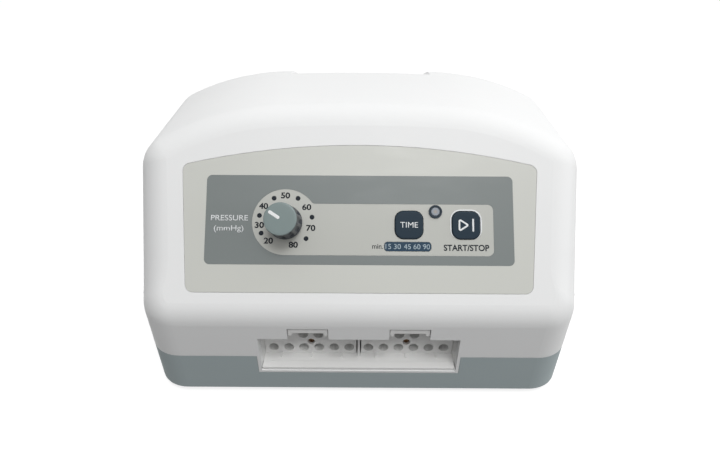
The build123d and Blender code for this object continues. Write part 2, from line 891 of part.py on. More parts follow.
def make_light_baffle():
    places, cell = time_cells()
    low, high = -board_drop, -wall
    outline = Rectangle(window_length + baffle_wall, window_height + baffle_wall)
    for place in places:
        outline = outline - Pos(place, 0) * Rectangle(cell, window_height - 2 * baffle_wall)
    return on_panel(window_x, window_up, low) * extrude(outline, high - low)


def make_indicator_leds():
    places, _ = time_cells()
    chip = extrude(Rectangle(led_size, led_size), led_height)
    lamps = [on_panel(window_x + place, window_up, -board_drop) * chip for place in places]
    return lamps + [on_panel(lamp_x, lamp_up, -board_drop) * chip]


def make_control_board():
    outline = Pos((board_left + board_right) / 2, (board_low + board_high) / 2) * Rectangle(
        board_right - board_left, board_high - board_low
    )
    for x, up in board_screw_places():
        outline = outline - Pos(x, up) * Circle(small_screw_radius + slip)
    return on_panel(0, 0, -board_drop - board_thickness) * extrude(outline, board_thickness)


def make_board_screws():
    seat = -board_drop - board_thickness
    screws = []
    for x, up in board_screw_places():
        base = on_panel(x, up, seat).position
        screws.append(pan_screw(
            tuple(base), tuple(panel.z_dir), small_screw_radius, small_screw_length,
            small_screw_head, small_screw_head_thickness,
        ))
    return screws


# ---------------------------------------------------------------- port recess
def port_places(side):
    """Every port of one block: x and z."""
    for i in range(port_columns):
        yield side * (port_first_x + i * port_pitch), port_row_low
    for i in (port_columns // 2 - 1, port_columns // 2):
        yield side * (port_first_x + i * port_pitch), port_row_high


def air_way(x, z, front, rear):
    """A square air way along the depth of the case."""
    half = air_way_half
    return box(x - half, x + half, at_depth(front), at_depth(rear), z - half, z + half)


def make_port_tray():
    opening_half = port_half_width - port_rim_side
    half = opening_half - tray_gap
    low = tray_floor - tray_thickness
    step = surround_depth + tray_gap
    sill_half = half - tray_gap
    sill = box(-sill_half, sill_half, at_depth(tray_front), at_depth(step), low, sill_height)
    wide = half + tray_side
    floor = box(-wide, wide, at_depth(step), at_depth(block_rear), low, tray_floor)
    tray = sill + floor
    for side in sides:
        tray = tray + box(side * half, side * wide, at_depth(step), at_depth(block_rear), low, block_top)
        for i in range(0, port_columns, 2):
            x = side * (port_first_x + (i + 0.5) * port_pitch)
            tray = tray + box(
                x - coding_rib / 2, x + coding_rib / 2, at_depth(face_depth - coding_rib_length),
                at_depth(face_depth), low, tray_floor + coding_rib_height,
            )
    half = divider_thickness / 2
    return tray + box(-half, half, at_depth(divider_front), at_depth(block_rear), low, block_top)


def make_port_block(side):
    inner = side * (divider_thickness / 2 + divider_slit)
    outer = side * (port_half_width - port_rim_side - 2 * tray_gap)
    block = box(inner, outer, at_depth(face_depth), at_depth(block_rear), tray_floor, block_top)
    front, rear = face_depth - over, block_rear + over
    for x, z in port_places(side):
        block = block - level(port_radius, x, z, front, rear)
    x, z = side * block_middle, block_screw_z
    block = block - level(block_screw_head + slip / 2, x, z, front, block_screw_seat)
    return block - level(block_screw_radius + slip / 2, x, z, front, rear)


def make_block_screws():
    length = block_rear + block_screw_bite - block_screw_seat
    return [
        pan_screw(
            (side * block_middle, at_depth(block_screw_seat), block_screw_z), (0, 1, 0), block_screw_radius,
            length, block_screw_head, block_screw_head_thickness,
        )
        for side in sides
    ]


def make_catch(side):
    middle = side * block_middle
    half = notch_width / 2 - catch_gap
    bar_top = notch_top - catch_gap
    bar_low = bar_top - catch_bar
    plate_rear = catch_plate_front + catch_plate
    catch = box(middle - half, middle + half, at_depth(catch_front), at_depth(plate_rear), bar_low, bar_top)
    for end in sides:
        tip = middle + end * half
        leg = box(
            tip, tip - end * catch_leg_width, at_depth(catch_front), at_depth(plate_rear),
            bar_low - catch_leg_drop, bar_top,
        )
        catch = catch + fillet(leg.edges().filter_by(Axis.Y).group_by(Axis.Z)[0], catch_leg_round)
    plate_half = catch_plate_width / 2
    catch = catch + box(
        middle - plate_half, middle + plate_half, at_depth(catch_plate_front), at_depth(plate_rear),
        bar_low, catch_pivot_z,
    )
    pivot = (at_depth(catch_pivot_depth), catch_pivot_z)
    catch = catch + rod(catch_barrel_radius, (middle - plate_half, *pivot), (middle + plate_half, *pivot))
    reach = plate_half + over
    return catch - rod(catch_pin_radius + running, (middle - reach, *pivot), (middle + reach, *pivot))


def make_catch_pins():
    reach = catch_plate_width / 2 + slip + catch_ear
    pivot = (at_depth(catch_pivot_depth), catch_pivot_z)
    return [
        rod(catch_pin_radius, (side * block_middle - reach, *pivot), (side * block_middle + reach, *pivot))
        for side in sides
    ]


# ---------------------------------------------------------------- air manifold and distributor
def distributor_block(front, rear):
    """A square block about the distributor's axis."""
    return box(
        -distributor_half, distributor_half, at_depth(front), at_depth(rear),
        distributor_z - distributor_half, distributor_z + distributor_half,
    )


def sensor_spigot(grow, low, high):
    """The square spigot of the pressure sensor, or the hole that takes it."""
    half = spigot_half + grow
    return pillar(sensor_x, at_depth(block_rear + manifold_thickness / 2), half, half, low, high)


def make_air_manifold():
    half = port_half_width - port_rim_side - 2 * tray_gap
    manifold = box(-half, half, at_depth(block_rear), at_depth(manifold_rear), tray_floor, block_top)
    flange_rear = manifold_rear + flange_thickness
    manifold = manifold + distributor_block(manifold_rear - over, flange_rear)
    screw_end = block_rear + block_screw_bite + over
    for side in sides:
        for x, z in port_places(side):
            manifold = manifold - air_way(x, z, block_rear - over, block_rear + gallery_depth)
        manifold = manifold - level(
            block_screw_radius + snug, side * block_middle, block_screw_z, block_rear - over, screw_end
        )
    manifold = manifold - sensor_spigot(slip, block_top - gallery_depth - over, block_top + over)
    for i in range(distributor_ports):
        turn = 2 * math.pi * i / distributor_ports
        x = distributor_port_circle * math.sin(turn)
        z = distributor_z + distributor_port_circle * math.cos(turn)
        manifold = manifold - air_way(x, z, manifold_rear, flange_rear + over)
    return manifold


def make_distributor_housing():
    front = manifold_rear + flange_thickness
    rear = front + distributor_length
    cup = distributor_block(front, rear)
    cup = cup - level(distributor_bore, 0, distributor_z, front - over, rear - wall)
    cup = cup - level(shaft_radius + running, 0, distributor_z, front, rear + over)
    y, top = at_depth((front + rear) / 2), distributor_z + distributor_half
    nipple = upright(nipple_radius, 0, y, top - nipple_root, top + nipple_length)
    bore = upright(nipple_bore, 0, y, distributor_z + rotor_radius, top + nipple_length + over)
    return cup + nipple - bore


def make_distributor_rotor():
    front = manifold_rear + flange_thickness + rotor_gap
    rotor = level(rotor_radius, 0, distributor_z, front, front + rotor_thickness)
    arc = CenterArc((0, 0), distributor_port_circle, 0, rotor_slot_angle)
    slot = trace(arc, rotor_slot_width)
    across = Plane(origin=(0, at_depth(front - over), distributor_z), x_dir=(1, 0, 0), z_dir=(0, 1, 0))
    rotor = rotor - extrude(across * slot, over + rotor_thickness / 2)
    shaft_start = front + rotor_thickness - over
    shaft_end = manifold_rear + flange_thickness + distributor_length + motor_shaft_length
    return rotor + level(shaft_radius, 0, distributor_z, shaft_start, shaft_end)


def make_distributor_motor():
    front = manifold_rear + flange_thickness + distributor_length
    can = level(motor_radius, 0, distributor_z, front, front + motor_length)
    bore_end = front + motor_shaft_length + slip
    return can - level(shaft_radius + running, 0, distributor_z, front - over, bore_end)


# ---------------------------------------------------------------- compressor
def pump_box(x0, x1, y0, y1, z0, z1):
    """A box placed from the middle of the pump's axis."""
    y = at_depth(pump_depth)
    return box(pump_x + x0, pump_x + x1, y + y0, y + y1, pump_axis_z + z0, pump_axis_z + z1)


def pump_rod(radius, x0, x1):
    y = at_depth(pump_depth)
    return rod(radius, (pump_x + x0, y, pump_axis_z), (pump_x + x1, y, pump_axis_z))


def mount_places():
    """The four rubber mounts under the pump: x and depth."""
    for dx in sides:
        for dy in sides:
            yield pump_x + dx * mount_spacing_x, pump_depth + dy * mount_spacing_y


def make_compressor_frame():
    half = head_size / 2
    floor_low = pump_floor_z - pump_axis_z
    floor_high = floor_low + pump_plate
    deep = pump_floor_half_depth
    frame = pump_box(-pump_half_length, pump_half_length, -deep, deep, floor_low, floor_high)
    window = diaphragm_window
    far = armature_thickness / 2 + core_gap + core_thickness
    near = far - core_thickness / 2
    for side in sides:
        outside, inside = side * pump_half_length, side * (pump_half_length - pump_plate)
        frame = frame + pump_box(inside, outside, -half, half, floor_low, half)
        frame = frame - pump_box(
            inside - side * over, outside + side * over, -window, window, -window, window
        )
        frame = frame + pump_box(
            -core_length / 2, core_length / 2, side * near, side * far, floor_low, -core_height / 2
        )
    return frame


def make_compressor_cores():
    cores = []
    near = armature_thickness / 2 + core_gap
    far = near + core_thickness
    half, slot_floor = core_height / 2, near + core_thickness / 2
    for side in sides:
        core = pump_box(-core_length / 2, core_length / 2, side * near, side * far, -half, half)
        for end in sides:
            inner, outer = end * core_leg, end * (core_leg + core_slot)
            core = core - pump_box(
                inner, outer, side * (near - over), side * slot_floor, -half, half
            )
        cores.append(core)
    return cores


def make_compressor_coils():
    near = armature_thickness / 2 + core_gap + coil_clear
    far = armature_thickness / 2 + core_gap + core_thickness / 2 - coil_clear
    outside = core_leg + core_slot - coil_clear
    inside = core_leg + coil_clear
    high = core_height / 2 + coil_overhang
    room = core_height / 2 + coil_clear
    coils = []
    for side in sides:
        coil = pump_box(-outside, outside, side * near, side * far, -high, high)
        coils.append(coil - pump_box(
            -inside, inside, side * (near - over), side * (far + over), -room, room
        ))
    return coils


def make_compressor_armature():
    long, thick, high = armature_half_length, armature_thickness / 2, armature_height / 2
    armature = pump_box(-long, long, -thick, thick, -high, high)
    clear = armature_stroke + stroke_room
    inner_face = pump_half_length - clear
    outer_face = pump_half_length + diaphragm_thickness + clear
    rod_end, washer_end = outer_face + washer_thickness, inner_face - washer_thickness
    nut = RegularPolygon(armature_nut / 2, 6, major_radius=False)
    for side in sides:
        armature = armature + pump_rod(armature_rod, side * (long - over), side * rod_end)
        armature = armature + pump_rod(armature_washer, side * washer_end, side * inner_face)
        middle = (pump_x + side * outer_face, at_depth(pump_depth), pump_axis_z)
        armature = armature + extrude(Plane(origin=middle, z_dir=(side, 0, 0)) * nut, washer_thickness)
    return armature


def make_compressor_diaphragms():
    sheets = []
    half, inner, outer = diaphragm_half, pump_half_length, pump_half_length + diaphragm_thickness
    for side in sides:
        sheet = pump_box(side * inner, side * outer, -half, half, -half, half)
        hole = pump_rod(armature_rod + running, side * (inner - over), side * (outer + over))
        sheets.append(sheet - hole)
    return sheets


def make_compressor_heads():
    heads = []
    half = head_size / 2
    inside = pump_half_length + diaphragm_thickness
    y = at_depth(pump_depth)
    for side in sides:
        head = pump_box(side * inside, side * (inside + head_length), -half, half, -half, half)
        near, far = side * (inside - over), side * (inside + head_cavity)
        head = head - pump_box(near, far, -cavity_half, cavity_half, -cavity_half, cavity_half)
        x = pump_x + side * (inside + head_length / 2)
        nipple_low = pump_axis_z + half - nipple_root
        head = head + upright(nipple_radius, x, y, nipple_low, rail_z - rail_half)
        heads.append(head - upright(nipple_bore, x, y, pump_axis_z - half - over, rail_z))
    return heads


def make_outlet_rail():
    y = at_depth(pump_depth)
    reach = pump_half_length + diaphragm_thickness + head_length / 2
    end = reach + rail_half
    low, high = rail_z - rail_half, rail_z + rail_half
    rail = pillar(pump_x, y, end, rail_half, low, high)
    for side in sides:
        x, half = pump_x + side * reach, rail_half + rail_cup
        cup_low = low - rail_cup_depth
        rail = rail + pillar(x, y, half, half, cup_low, rail_z)
        rail = rail - upright(nipple_radius + snug, x, y, cup_low - over, low)
    return rail + upright(nipple_radius, pump_x - reach, y, rail_z, high + nipple_length)


def make_supply_hose():
    """The arch of hose from the outlet rail to the distributor, with a socket for each nipple."""
    x = pump_x - pump_half_length - diaphragm_thickness - head_length / 2
    inlet_depth = manifold_rear + flange_thickness + distributor_length / 2
    start = (x, at_depth(pump_depth), rail_z + rail_half)
    end = (0, at_depth(inlet_depth), distributor_z + distributor_half)
    corners = [start, (*start[:2], hose_rise), (*end[:2], hose_rise), end]
    route = FilletPolyline(*corners, radius=hose_bend)
    hose = sweep(Plane(start, z_dir=(0, 0, 1)) * Circle(hose_radius), path=route)
    for x, y, z in (start, end):
        hose = hose - upright(nipple_radius + snug, x, y, z - over, z + nipple_length)
    return hose


def make_compressor_mounts():
    half = mount_half
    return [
        pillar(x, at_depth(depth), half, half, mount_seat, pump_floor_z) for x, depth in mount_places()
    ]


def make_pressure_sensor():
    y = at_depth(block_rear + manifold_thickness / 2)
    top = block_top + sensor_height
    body = pillar(sensor_x, y, sensor_length / 2, sensor_width / 2, block_top, top)
    return body + sensor_spigot(0, block_top - gallery_depth, block_top + over)


def filter_block(grow, low_depth, high_depth):
    """A block over the vent slots, larger than them by the pad's margin and grow."""
    half_x = (vent_count - 1) / 2 * vent_pitch + vent_width / 2 + filter_margin + grow
    half_z = vent_height / 2 + filter_margin + grow
    low, high = vent_z - half_z, vent_z + half_z
    return box(vent_x - half_x, vent_x + half_x, at_depth(low_depth), at_depth(high_depth), low, high)


def make_filter_frame():
    """The rim on the inside of the rear wall that holds the pad."""
    seat = case_depth - wall
    front = seat - filter_thickness - filter_frame
    rim = filter_block(filter_frame, front, seat + wall / 2) - filter_block(0, front - over, seat + wall)
    lip = filter_block(filter_frame, front, front + filter_frame)
    return rim + lip - filter_block(-filter_lip, front - over, seat)


def make_vent_filter():
    seat = case_depth - wall
    return filter_block(-slip, seat - filter_thickness + slip, seat)


# ---------------------------------------------------------------- mains side
def rear_block(x, half_x, half_z, low_y, high_y):
    return box(x - half_x, x + half_x, rear_y + low_y, rear_y + high_y, mains_z - half_z, mains_z + half_z)


def make_power_inlet():
    flange = rear_block(inlet_x, inlet_flange_x / 2, inlet_flange_z / 2, 0, rear_flange)
    body = rear_block(inlet_x, inlet_body_x / 2, inlet_body_z / 2, -inlet_body_length, 0)
    half_x, half_z = inlet_socket_x / 2, inlet_socket_z / 2
    mouth_y = rear_y + rear_flange + over
    mouth = Plane(origin=(inlet_x, mouth_y, mains_z), x_dir=(-1, 0, 0), z_dir=(0, 1, 0))
    outline = Rectangle(inlet_socket_x, inlet_socket_z)
    outline = chamfer(outline.vertices().group_by(Axis.Y)[-1], inlet_corner_cut)
    socket = extrude(mouth * outline, -(inlet_socket_depth + rear_flange + over))
    inlet = flange + body - socket
    for x in inlet_screw_places:
        shank_room = level(small_screw_radius + slip, x, mains_z, case_depth - over, case_depth + over)
        head_room = level(inlet_screw_head + slip / 2, x, mains_z, inlet_screw_seat, case_depth + wall)
        inlet = inlet - shank_room - head_room
    return inlet


def make_inlet_pins():
    pins = []
    floor_y = rear_y - inlet_socket_depth
    half_x, half_z = pin_thickness / 2, pin_width / 2
    for dx, dz in ((-pin_spread, -pin_raise), (0, pin_raise), (pin_spread, -pin_raise)):
        x, z = inlet_x + dx, mains_z + dz
        pins.append(box(
            x - half_x, x + half_x, floor_y, floor_y + pin_length, z - half_z, z + half_z
        ))
    return pins


def make_inlet_screws():
    return [
        pan_screw(
            (x, at_depth(inlet_screw_seat), mains_z), (0, -1, 0), small_screw_radius, small_screw_length,
            inlet_screw_head, inlet_screw_head_thickness,
        )
        for x in inlet_screw_places
    ]


def make_fuse_holder():
    cap = level(fuse_cap_radius, fuse_x, mains_z, case_depth, case_depth + rear_flange)
    return cap + level(fuse_body_radius, fuse_x, mains_z, case_depth - fuse_body_length, case_depth + over)


def make_switch_body():
    frame = rear_block(switch_x, switch_frame_x / 2, switch_frame_z / 2, 0, switch_frame_proud)
    body = rear_block(switch_x, switch_body_x / 2, switch_body_z / 2, -switch_body_length, 0)
    outside = rear_flange + over
    well = rear_block(switch_x, switch_well_x / 2, switch_well_z / 2, -switch_well_depth, outside)
    reach = (switch_well_x + switch_body_x) / 4
    pivot = (rear_y - rocker_pivot_inset, mains_z)
    pin = rod(rocker_pin_radius, (switch_x - reach, *pivot), (switch_x + reach, *pivot))
    return frame + body - well + pin


def make_power_rocker():
    """A rocker drawn level about its pin, then tipped to the side where it rests."""
    profile = Polyline(
        (-rocker_half, rocker_tip),
        (0, rocker_valley),
        (rocker_half, rocker_tip),
        (rocker_half - rocker_edge, rocker_edge),
        (rocker_foot, -rocker_foot),
        (-rocker_foot, -rocker_foot),
        (-rocker_half + rocker_edge, rocker_edge),
        close=True,
    )
    outward = Plane(origin=(0, 0, 0), x_dir=(0, 0, 1), z_dir=(-1, 0, 0))
    blank = extrude(outward * make_face(profile), rocker_x / 2, both=True)
    blank = blank - Rot(0, 90, 0) * Cylinder(rocker_pin_radius + running, 2 * rocker_x)
    return Pos(switch_x, rear_y - rocker_pivot_inset, mains_z) * (Rot(-rocker_throw / 2, 0, 0) * blank)


def make_transformer_core():
    y, z = at_depth(transformer_depth), transformer_seat + transformer_height / 2
    half_y, half_z = transformer_stack / 2, transformer_window_height / 2
    top = transformer_seat + transformer_height
    core = pillar(transformer_x, y, transformer_length / 2, half_y, transformer_seat, top)
    for side in sides:
        x = transformer_x + side * (transformer_leg + transformer_window / 2)
        core = core - pillar(x, y, transformer_window / 2, half_y + over, z - half_z, z + half_z)
    return core


def make_transformer_winding():
    y, z = at_depth(transformer_depth), transformer_seat + transformer_height / 2
    outside = transformer_leg + transformer_window - winding_clear
    half_z = transformer_window_height / 2 - winding_clear
    low, high = z - half_z, z + half_z
    winding = pillar(transformer_x, y, outside, winding_depth / 2, low, high)
    inside_x, inside_y = transformer_leg + winding_clear, transformer_stack / 2 + winding_clear
    return winding - pillar(transformer_x, y, inside_x, inside_y, low - over, high + over)


def make_power_board():
    return box(
        power_board_left, power_board_right, at_depth(power_board_front), at_depth(power_board_rear),
        power_board_z, power_board_z + board_thickness,
    )


def make_board_parts():
    top = power_board_z + board_thickness
    middle_x = (power_board_left + power_board_right) / 2
    middle_depth = (power_board_front + power_board_rear) / 2
    parts = []
    for side in sides:
        y = at_depth(middle_depth + side * capacitor_spread)
        parts.append(upright(capacitor_radius, middle_x, y, top, top + capacitor_height))
    sink_x = power_board_right - 2 * power_board_inset
    sink_top = top + heat_sink_height
    half, middle_y = heat_sink_width / 2, at_depth(middle_depth)
    sink = box(sink_x - heat_sink_back, sink_x, middle_y - half, middle_y + half, top, sink_top)
    for i in range(heat_sink_fins):
        y = middle_y - half + (i + 0.5) * heat_sink_width / heat_sink_fins
        sink = sink + box(sink_x, sink_x + heat_sink_fin, y - fin_half, y + fin_half, top, sink_top)
    return parts + [sink]


pieces = {
    "top_cover": make_top_cover,
    "base_tray": make_base_tray,
    "rubber_feet": make_rubber_feet,
    "case_screws": make_case_screws,
    "control_overlay": make_control_overlay,
    "pressure_knob": make_pressure_knob,
    "knob_pointer": make_knob_pointer,
    "potentiometer_shaft": make_potentiometer_shaft,
    "potentiometer": make_potentiometer,
    "potentiometer_nut": make_potentiometer_nut,
    "time_key": lambda: make_key(time_key_x),
    "start_stop_key": lambda: make_key(start_key_x),
    "key_switches": make_key_switches,
    "lamp_ring": make_lamp_ring,
    "lamp_lens": make_lamp_lens,
    "time_window": make_time_window,
    "light_baffle": make_light_baffle,
    "indicator_leds": make_indicator_leds,
    "control_board": make_control_board,
    "board_screws": make_board_screws,
    "port_tray": make_port_tray,
    "left_port_block": lambda: make_port_block(-1),
    "right_port_block": lambda: make_port_block(1),
    "block_screws": make_block_screws,
    "left_catch": lambda: make_catch(-1),
    "right_catch": lambda: make_catch(1),
    "catch_pins": make_catch_pins,
    "air_manifold": make_air_manifold,
    "distributor_housing": make_distributor_housing,
    "distributor_rotor": make_distributor_rotor,
    "distributor_motor": make_distributor_motor,
    "compressor_frame": make_compressor_frame,
    "compressor_cores": make_compressor_cores,
    "compressor_coils": make_compressor_coils,
    "compressor_armature": make_compressor_armature,
    "compressor_diaphragms": make_compressor_diaphragms,
    "compressor_heads": make_compressor_heads,
    "outlet_rail": make_outlet_rail,
    "supply_hose": make_supply_hose,
    "compressor_mounts": make_compressor_mounts,
    "pressure_sensor": make_pressure_sensor,
    "vent_filter": make_vent_filter,
    "power_inlet": make_power_inlet,
    "inlet_pins": make_inlet_pins,
    "inlet_screws": make_inlet_screws,
    "fuse_holder": make_fuse_holder,
    "switch_body": make_switch_body,
    "power_rocker": make_power_rocker,
    "transformer_core": make_transformer_core,
    "transformer_winding": make_transformer_winding,
    "power_board": make_power_board,
    "board_parts": make_board_parts,
}

os.makedirs("parts", exist_ok=True)
for name, make in pieces.items():
    made = make()
    if isinstance(made, list):
        made = Compound(children=made)
    export_step(made, "parts/" + name + ".step")
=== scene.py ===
import json
import math

import bmesh
import bpy
from mathutils import Matrix, Vector


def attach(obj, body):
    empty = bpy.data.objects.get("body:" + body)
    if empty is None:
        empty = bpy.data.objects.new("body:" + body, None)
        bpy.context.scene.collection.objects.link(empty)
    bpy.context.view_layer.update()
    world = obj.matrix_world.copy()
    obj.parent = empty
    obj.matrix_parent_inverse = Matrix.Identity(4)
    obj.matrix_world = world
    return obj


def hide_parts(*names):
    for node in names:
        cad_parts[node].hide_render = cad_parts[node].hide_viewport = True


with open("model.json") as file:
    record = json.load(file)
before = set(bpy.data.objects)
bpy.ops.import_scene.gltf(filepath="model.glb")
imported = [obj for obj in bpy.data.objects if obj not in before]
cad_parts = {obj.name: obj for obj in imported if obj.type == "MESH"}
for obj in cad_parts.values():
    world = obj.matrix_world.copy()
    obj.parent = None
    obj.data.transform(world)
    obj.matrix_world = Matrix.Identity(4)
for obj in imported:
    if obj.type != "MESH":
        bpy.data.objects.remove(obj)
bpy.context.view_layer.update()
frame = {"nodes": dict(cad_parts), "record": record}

nodes = frame["nodes"]
mm = 0.001
print("stage: frame loaded with", len(nodes), "nodes")


# the case's front and how its sides spread to the rear, in millimetres and degrees
caseShape = {"front": -88.25, "depth": 174.5, "halfWidth": 125.5, "flare": 6.0}

# the panel's own directions: across, up the slope and out of it
panelPlace = {"foot": Vector((0, caseShape["front"], 63.0)), "lean": math.radians(37.3)}
panelUp = Vector((0, math.sin(panelPlace["lean"]), math.cos(panelPlace["lean"])))
panelOut = Vector((0, -math.cos(panelPlace["lean"]), math.sin(panelPlace["lean"])))
onPanel = Matrix((
    (1, panelUp.x, panelOut.x, panelPlace["foot"].x),
    (0, panelUp.y, panelOut.y, panelPlace["foot"].y),
    (0, panelUp.z, panelOut.z, panelPlace["foot"].z),
    (0, 0, 0, 1),
))
toMetres = Matrix.Scale(mm, 4)


# meshes
def finishPiece(name, mesh, material, body, replaced=()):
    piece = bpy.data.objects.new(name, mesh)
    bpy.context.scene.collection.objects.link(piece)
    mesh.materials.clear()
    mesh.materials.append(material)
    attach(piece, body)
    if replaced:
        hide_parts(*replaced)


def plainMesh(data, place=Matrix.Identity(4), modifiers=()):
    # turns a curve, text or mesh with its modifiers into a plain mesh, with its place in the vertices
    holder = bpy.data.objects.new("holder", data)
    bpy.context.scene.collection.objects.link(holder)
    for kind, values in modifiers:
        modifier = holder.modifiers.new(kind, kind)
        for key, value in values.items():
            if key.startswith("Socket_"):
                modifier[key] = value
            else:
                setattr(modifier, key, value)
    bpy.context.view_layer.update()
    finished = holder.evaluated_get(bpy.context.evaluated_depsgraph_get())
    mesh = bpy.data.meshes.new_from_object(finished)
    holder.modifiers.clear()
    bpy.data.objects.remove(holder)
    mesh.transform(place)
    return mesh


hair = 0.001        # a round end stops this far short of a half circle, so that its points stay apart


def flatCurve(outlines, thickness):
    # outlines in millimetres; an outline inside another is a hole
    curve = bpy.data.curves.new("outline", "CURVE")
    curve.dimensions = "2D"
    curve.fill_mode = "BOTH"
    curve.extrude = thickness / 2
    for points in outlines:
        spline = curve.splines.new("POLY")
        spline.points.add(len(points) - 1)
        for point, (x, y) in zip(spline.points, points):
            point.co = (x, y, 0, 1)
        spline.use_cyclic_u = True
    return curve


def arc(x, y, radius, start, end, steps=10):
    # points round a middle, from one angle to the other in degrees
    turns = (math.radians(start + (end - start) * i / steps) for i in range(steps + 1))
    return [(x + radius * math.cos(turn), y + radius * math.sin(turn)) for turn in turns]


def ring(x, y, radius, steps=48):
    return arc(x, y, radius, 0, 360 - 360 / steps, steps - 1)


def roundedBox(x, y, width, height, corner, steps=8):
    halfX, halfY = width / 2 - corner, height / 2 - corner
    points = []
    for signX, signY, start in ((1, 1, 0), (-1, 1, 90), (-1, -1, 180), (1, -1, 270)):
        points += arc(x + signX * halfX, y + signY * halfY, corner, start, start + 90, steps)
    return points


def roundedTriangle(left, right, middle, half, corner, steps=8):
    # a triangle that points to the right, with round corners
    corners = [Vector((left, middle - half)), Vector((right, middle)), Vector((left, middle + half))]
    points = []
    for i, tip in enumerate(corners):
        before, after = corners[i - 1] - tip, corners[(i + 1) % 3] - tip
        halfAngle = before.angle(after) / 2
        inward = (before.normalized() + after.normalized()).normalized()
        centre = tip + inward * corner / math.sin(halfAngle)
        start = math.degrees(math.atan2(before.x, -before.y))
        sweep = 180 - math.degrees(2 * halfAngle)
        points += arc(centre.x, centre.y, corner, start, start + sweep, steps)
    return points


def joined(name, meshes):
    box = bmesh.new()
    for mesh in meshes:
        box.from_mesh(mesh)
    whole = bpy.data.meshes.new(name)
    box.to_mesh(whole)
    box.free()
    return whole


letterBlank = {"size": 1.0, "extrude": 0.01}        # a letter before it is stretched to its size


def lettering(words, width, height, place, thickness, bold=0.0, wider=0.0):
    # text stretched to the width and height of its whole outline, centred on the place
    text = bpy.data.curves.new("words", "FONT")
    text.body = words
    text.size = letterBlank["size"]
    text.extrude = letterBlank["extrude"]
    text.bevel_depth = bold
    text.bevel_resolution = 0
    text.offset = wider
    mesh = plainMesh(text)
    xs = [vertex.co.x for vertex in mesh.vertices]
    ys = [vertex.co.y for vertex in mesh.vertices]
    middle = Vector(((min(xs) + max(xs)) / 2, (min(ys) + max(ys)) / 2, 0))
    mesh.transform(Matrix.Translation(-middle))
    blankThickness = 2 * (letterBlank["extrude"] + bold)
    stretch = (width / (max(xs) - min(xs)), height / (max(ys) - min(ys)), thickness / blankThickness)
    mesh.transform(Matrix.Diagonal((*stretch, 1)))
    mesh.transform(place)
    return mesh


# node trees
def newGroup(name, inputs, outputs, kind="ShaderNodeTree"):
    group = bpy.data.node_groups.new(name, kind)
    for label, socketKind, value in inputs:
        socket = group.interface.new_socket(name=label, in_out="INPUT", socket_type=socketKind)
        if value is not None:
            socket.default_value = value
    for label, socketKind in outputs:
        group.interface.new_socket(name=label, in_out="OUTPUT", socket_type=socketKind)
    given = group.nodes.new("NodeGroupInput").outputs
    return group, given, group.nodes.new("NodeGroupOutput").inputs


def addNode(tree, kind, sockets=None, **values):
    # sockets: what goes into each named or numbered input, a number or another node's output
    node = tree.nodes.new(kind)
    for key, value in values.items():
        setattr(node, key, value)
    for key, value in (sockets or {}).items():
        if isinstance(value, bpy.types.NodeSocket):
            tree.links.new(value, node.inputs[key])
        else:
            node.inputs[key].default_value = value
    return node


def sums(tree, operation, *values):
    # one step of arithmetic on numbers or on what other nodes give
    return addNode(tree, "ShaderNodeMath", dict(enumerate(values)), operation=operation).outputs[0]


def blendColours(tree, factor, low, high):
    # a mix node has its colours in its inputs 6 and 7 and gives the blend in its output 2
    first, second = [(*value, 1) if isinstance(value, tuple) else value for value in (low, high)]
    return addNode(tree, "ShaderNodeMix", {0: factor, 6: first, 7: second}, data_type="RGBA").outputs[2]


def spread(tree, value, low, high, fromLow=0.0, fromHigh=1.0):
    # low where the value is at fromLow or under it, high where it is at fromHigh or over it
    ranges = {0: value, 1: fromLow, 2: fromHigh, 3: low, 4: high}
    return addNode(tree, "ShaderNodeMapRange", ranges).outputs[0]


def socketNames(tree):
    return {item.name: item.identifier for item in tree.interface.items_tree if item.in_out == "INPUT"}


seamReach = 0.002        # mm, closes the seam and the poles of a turned piece


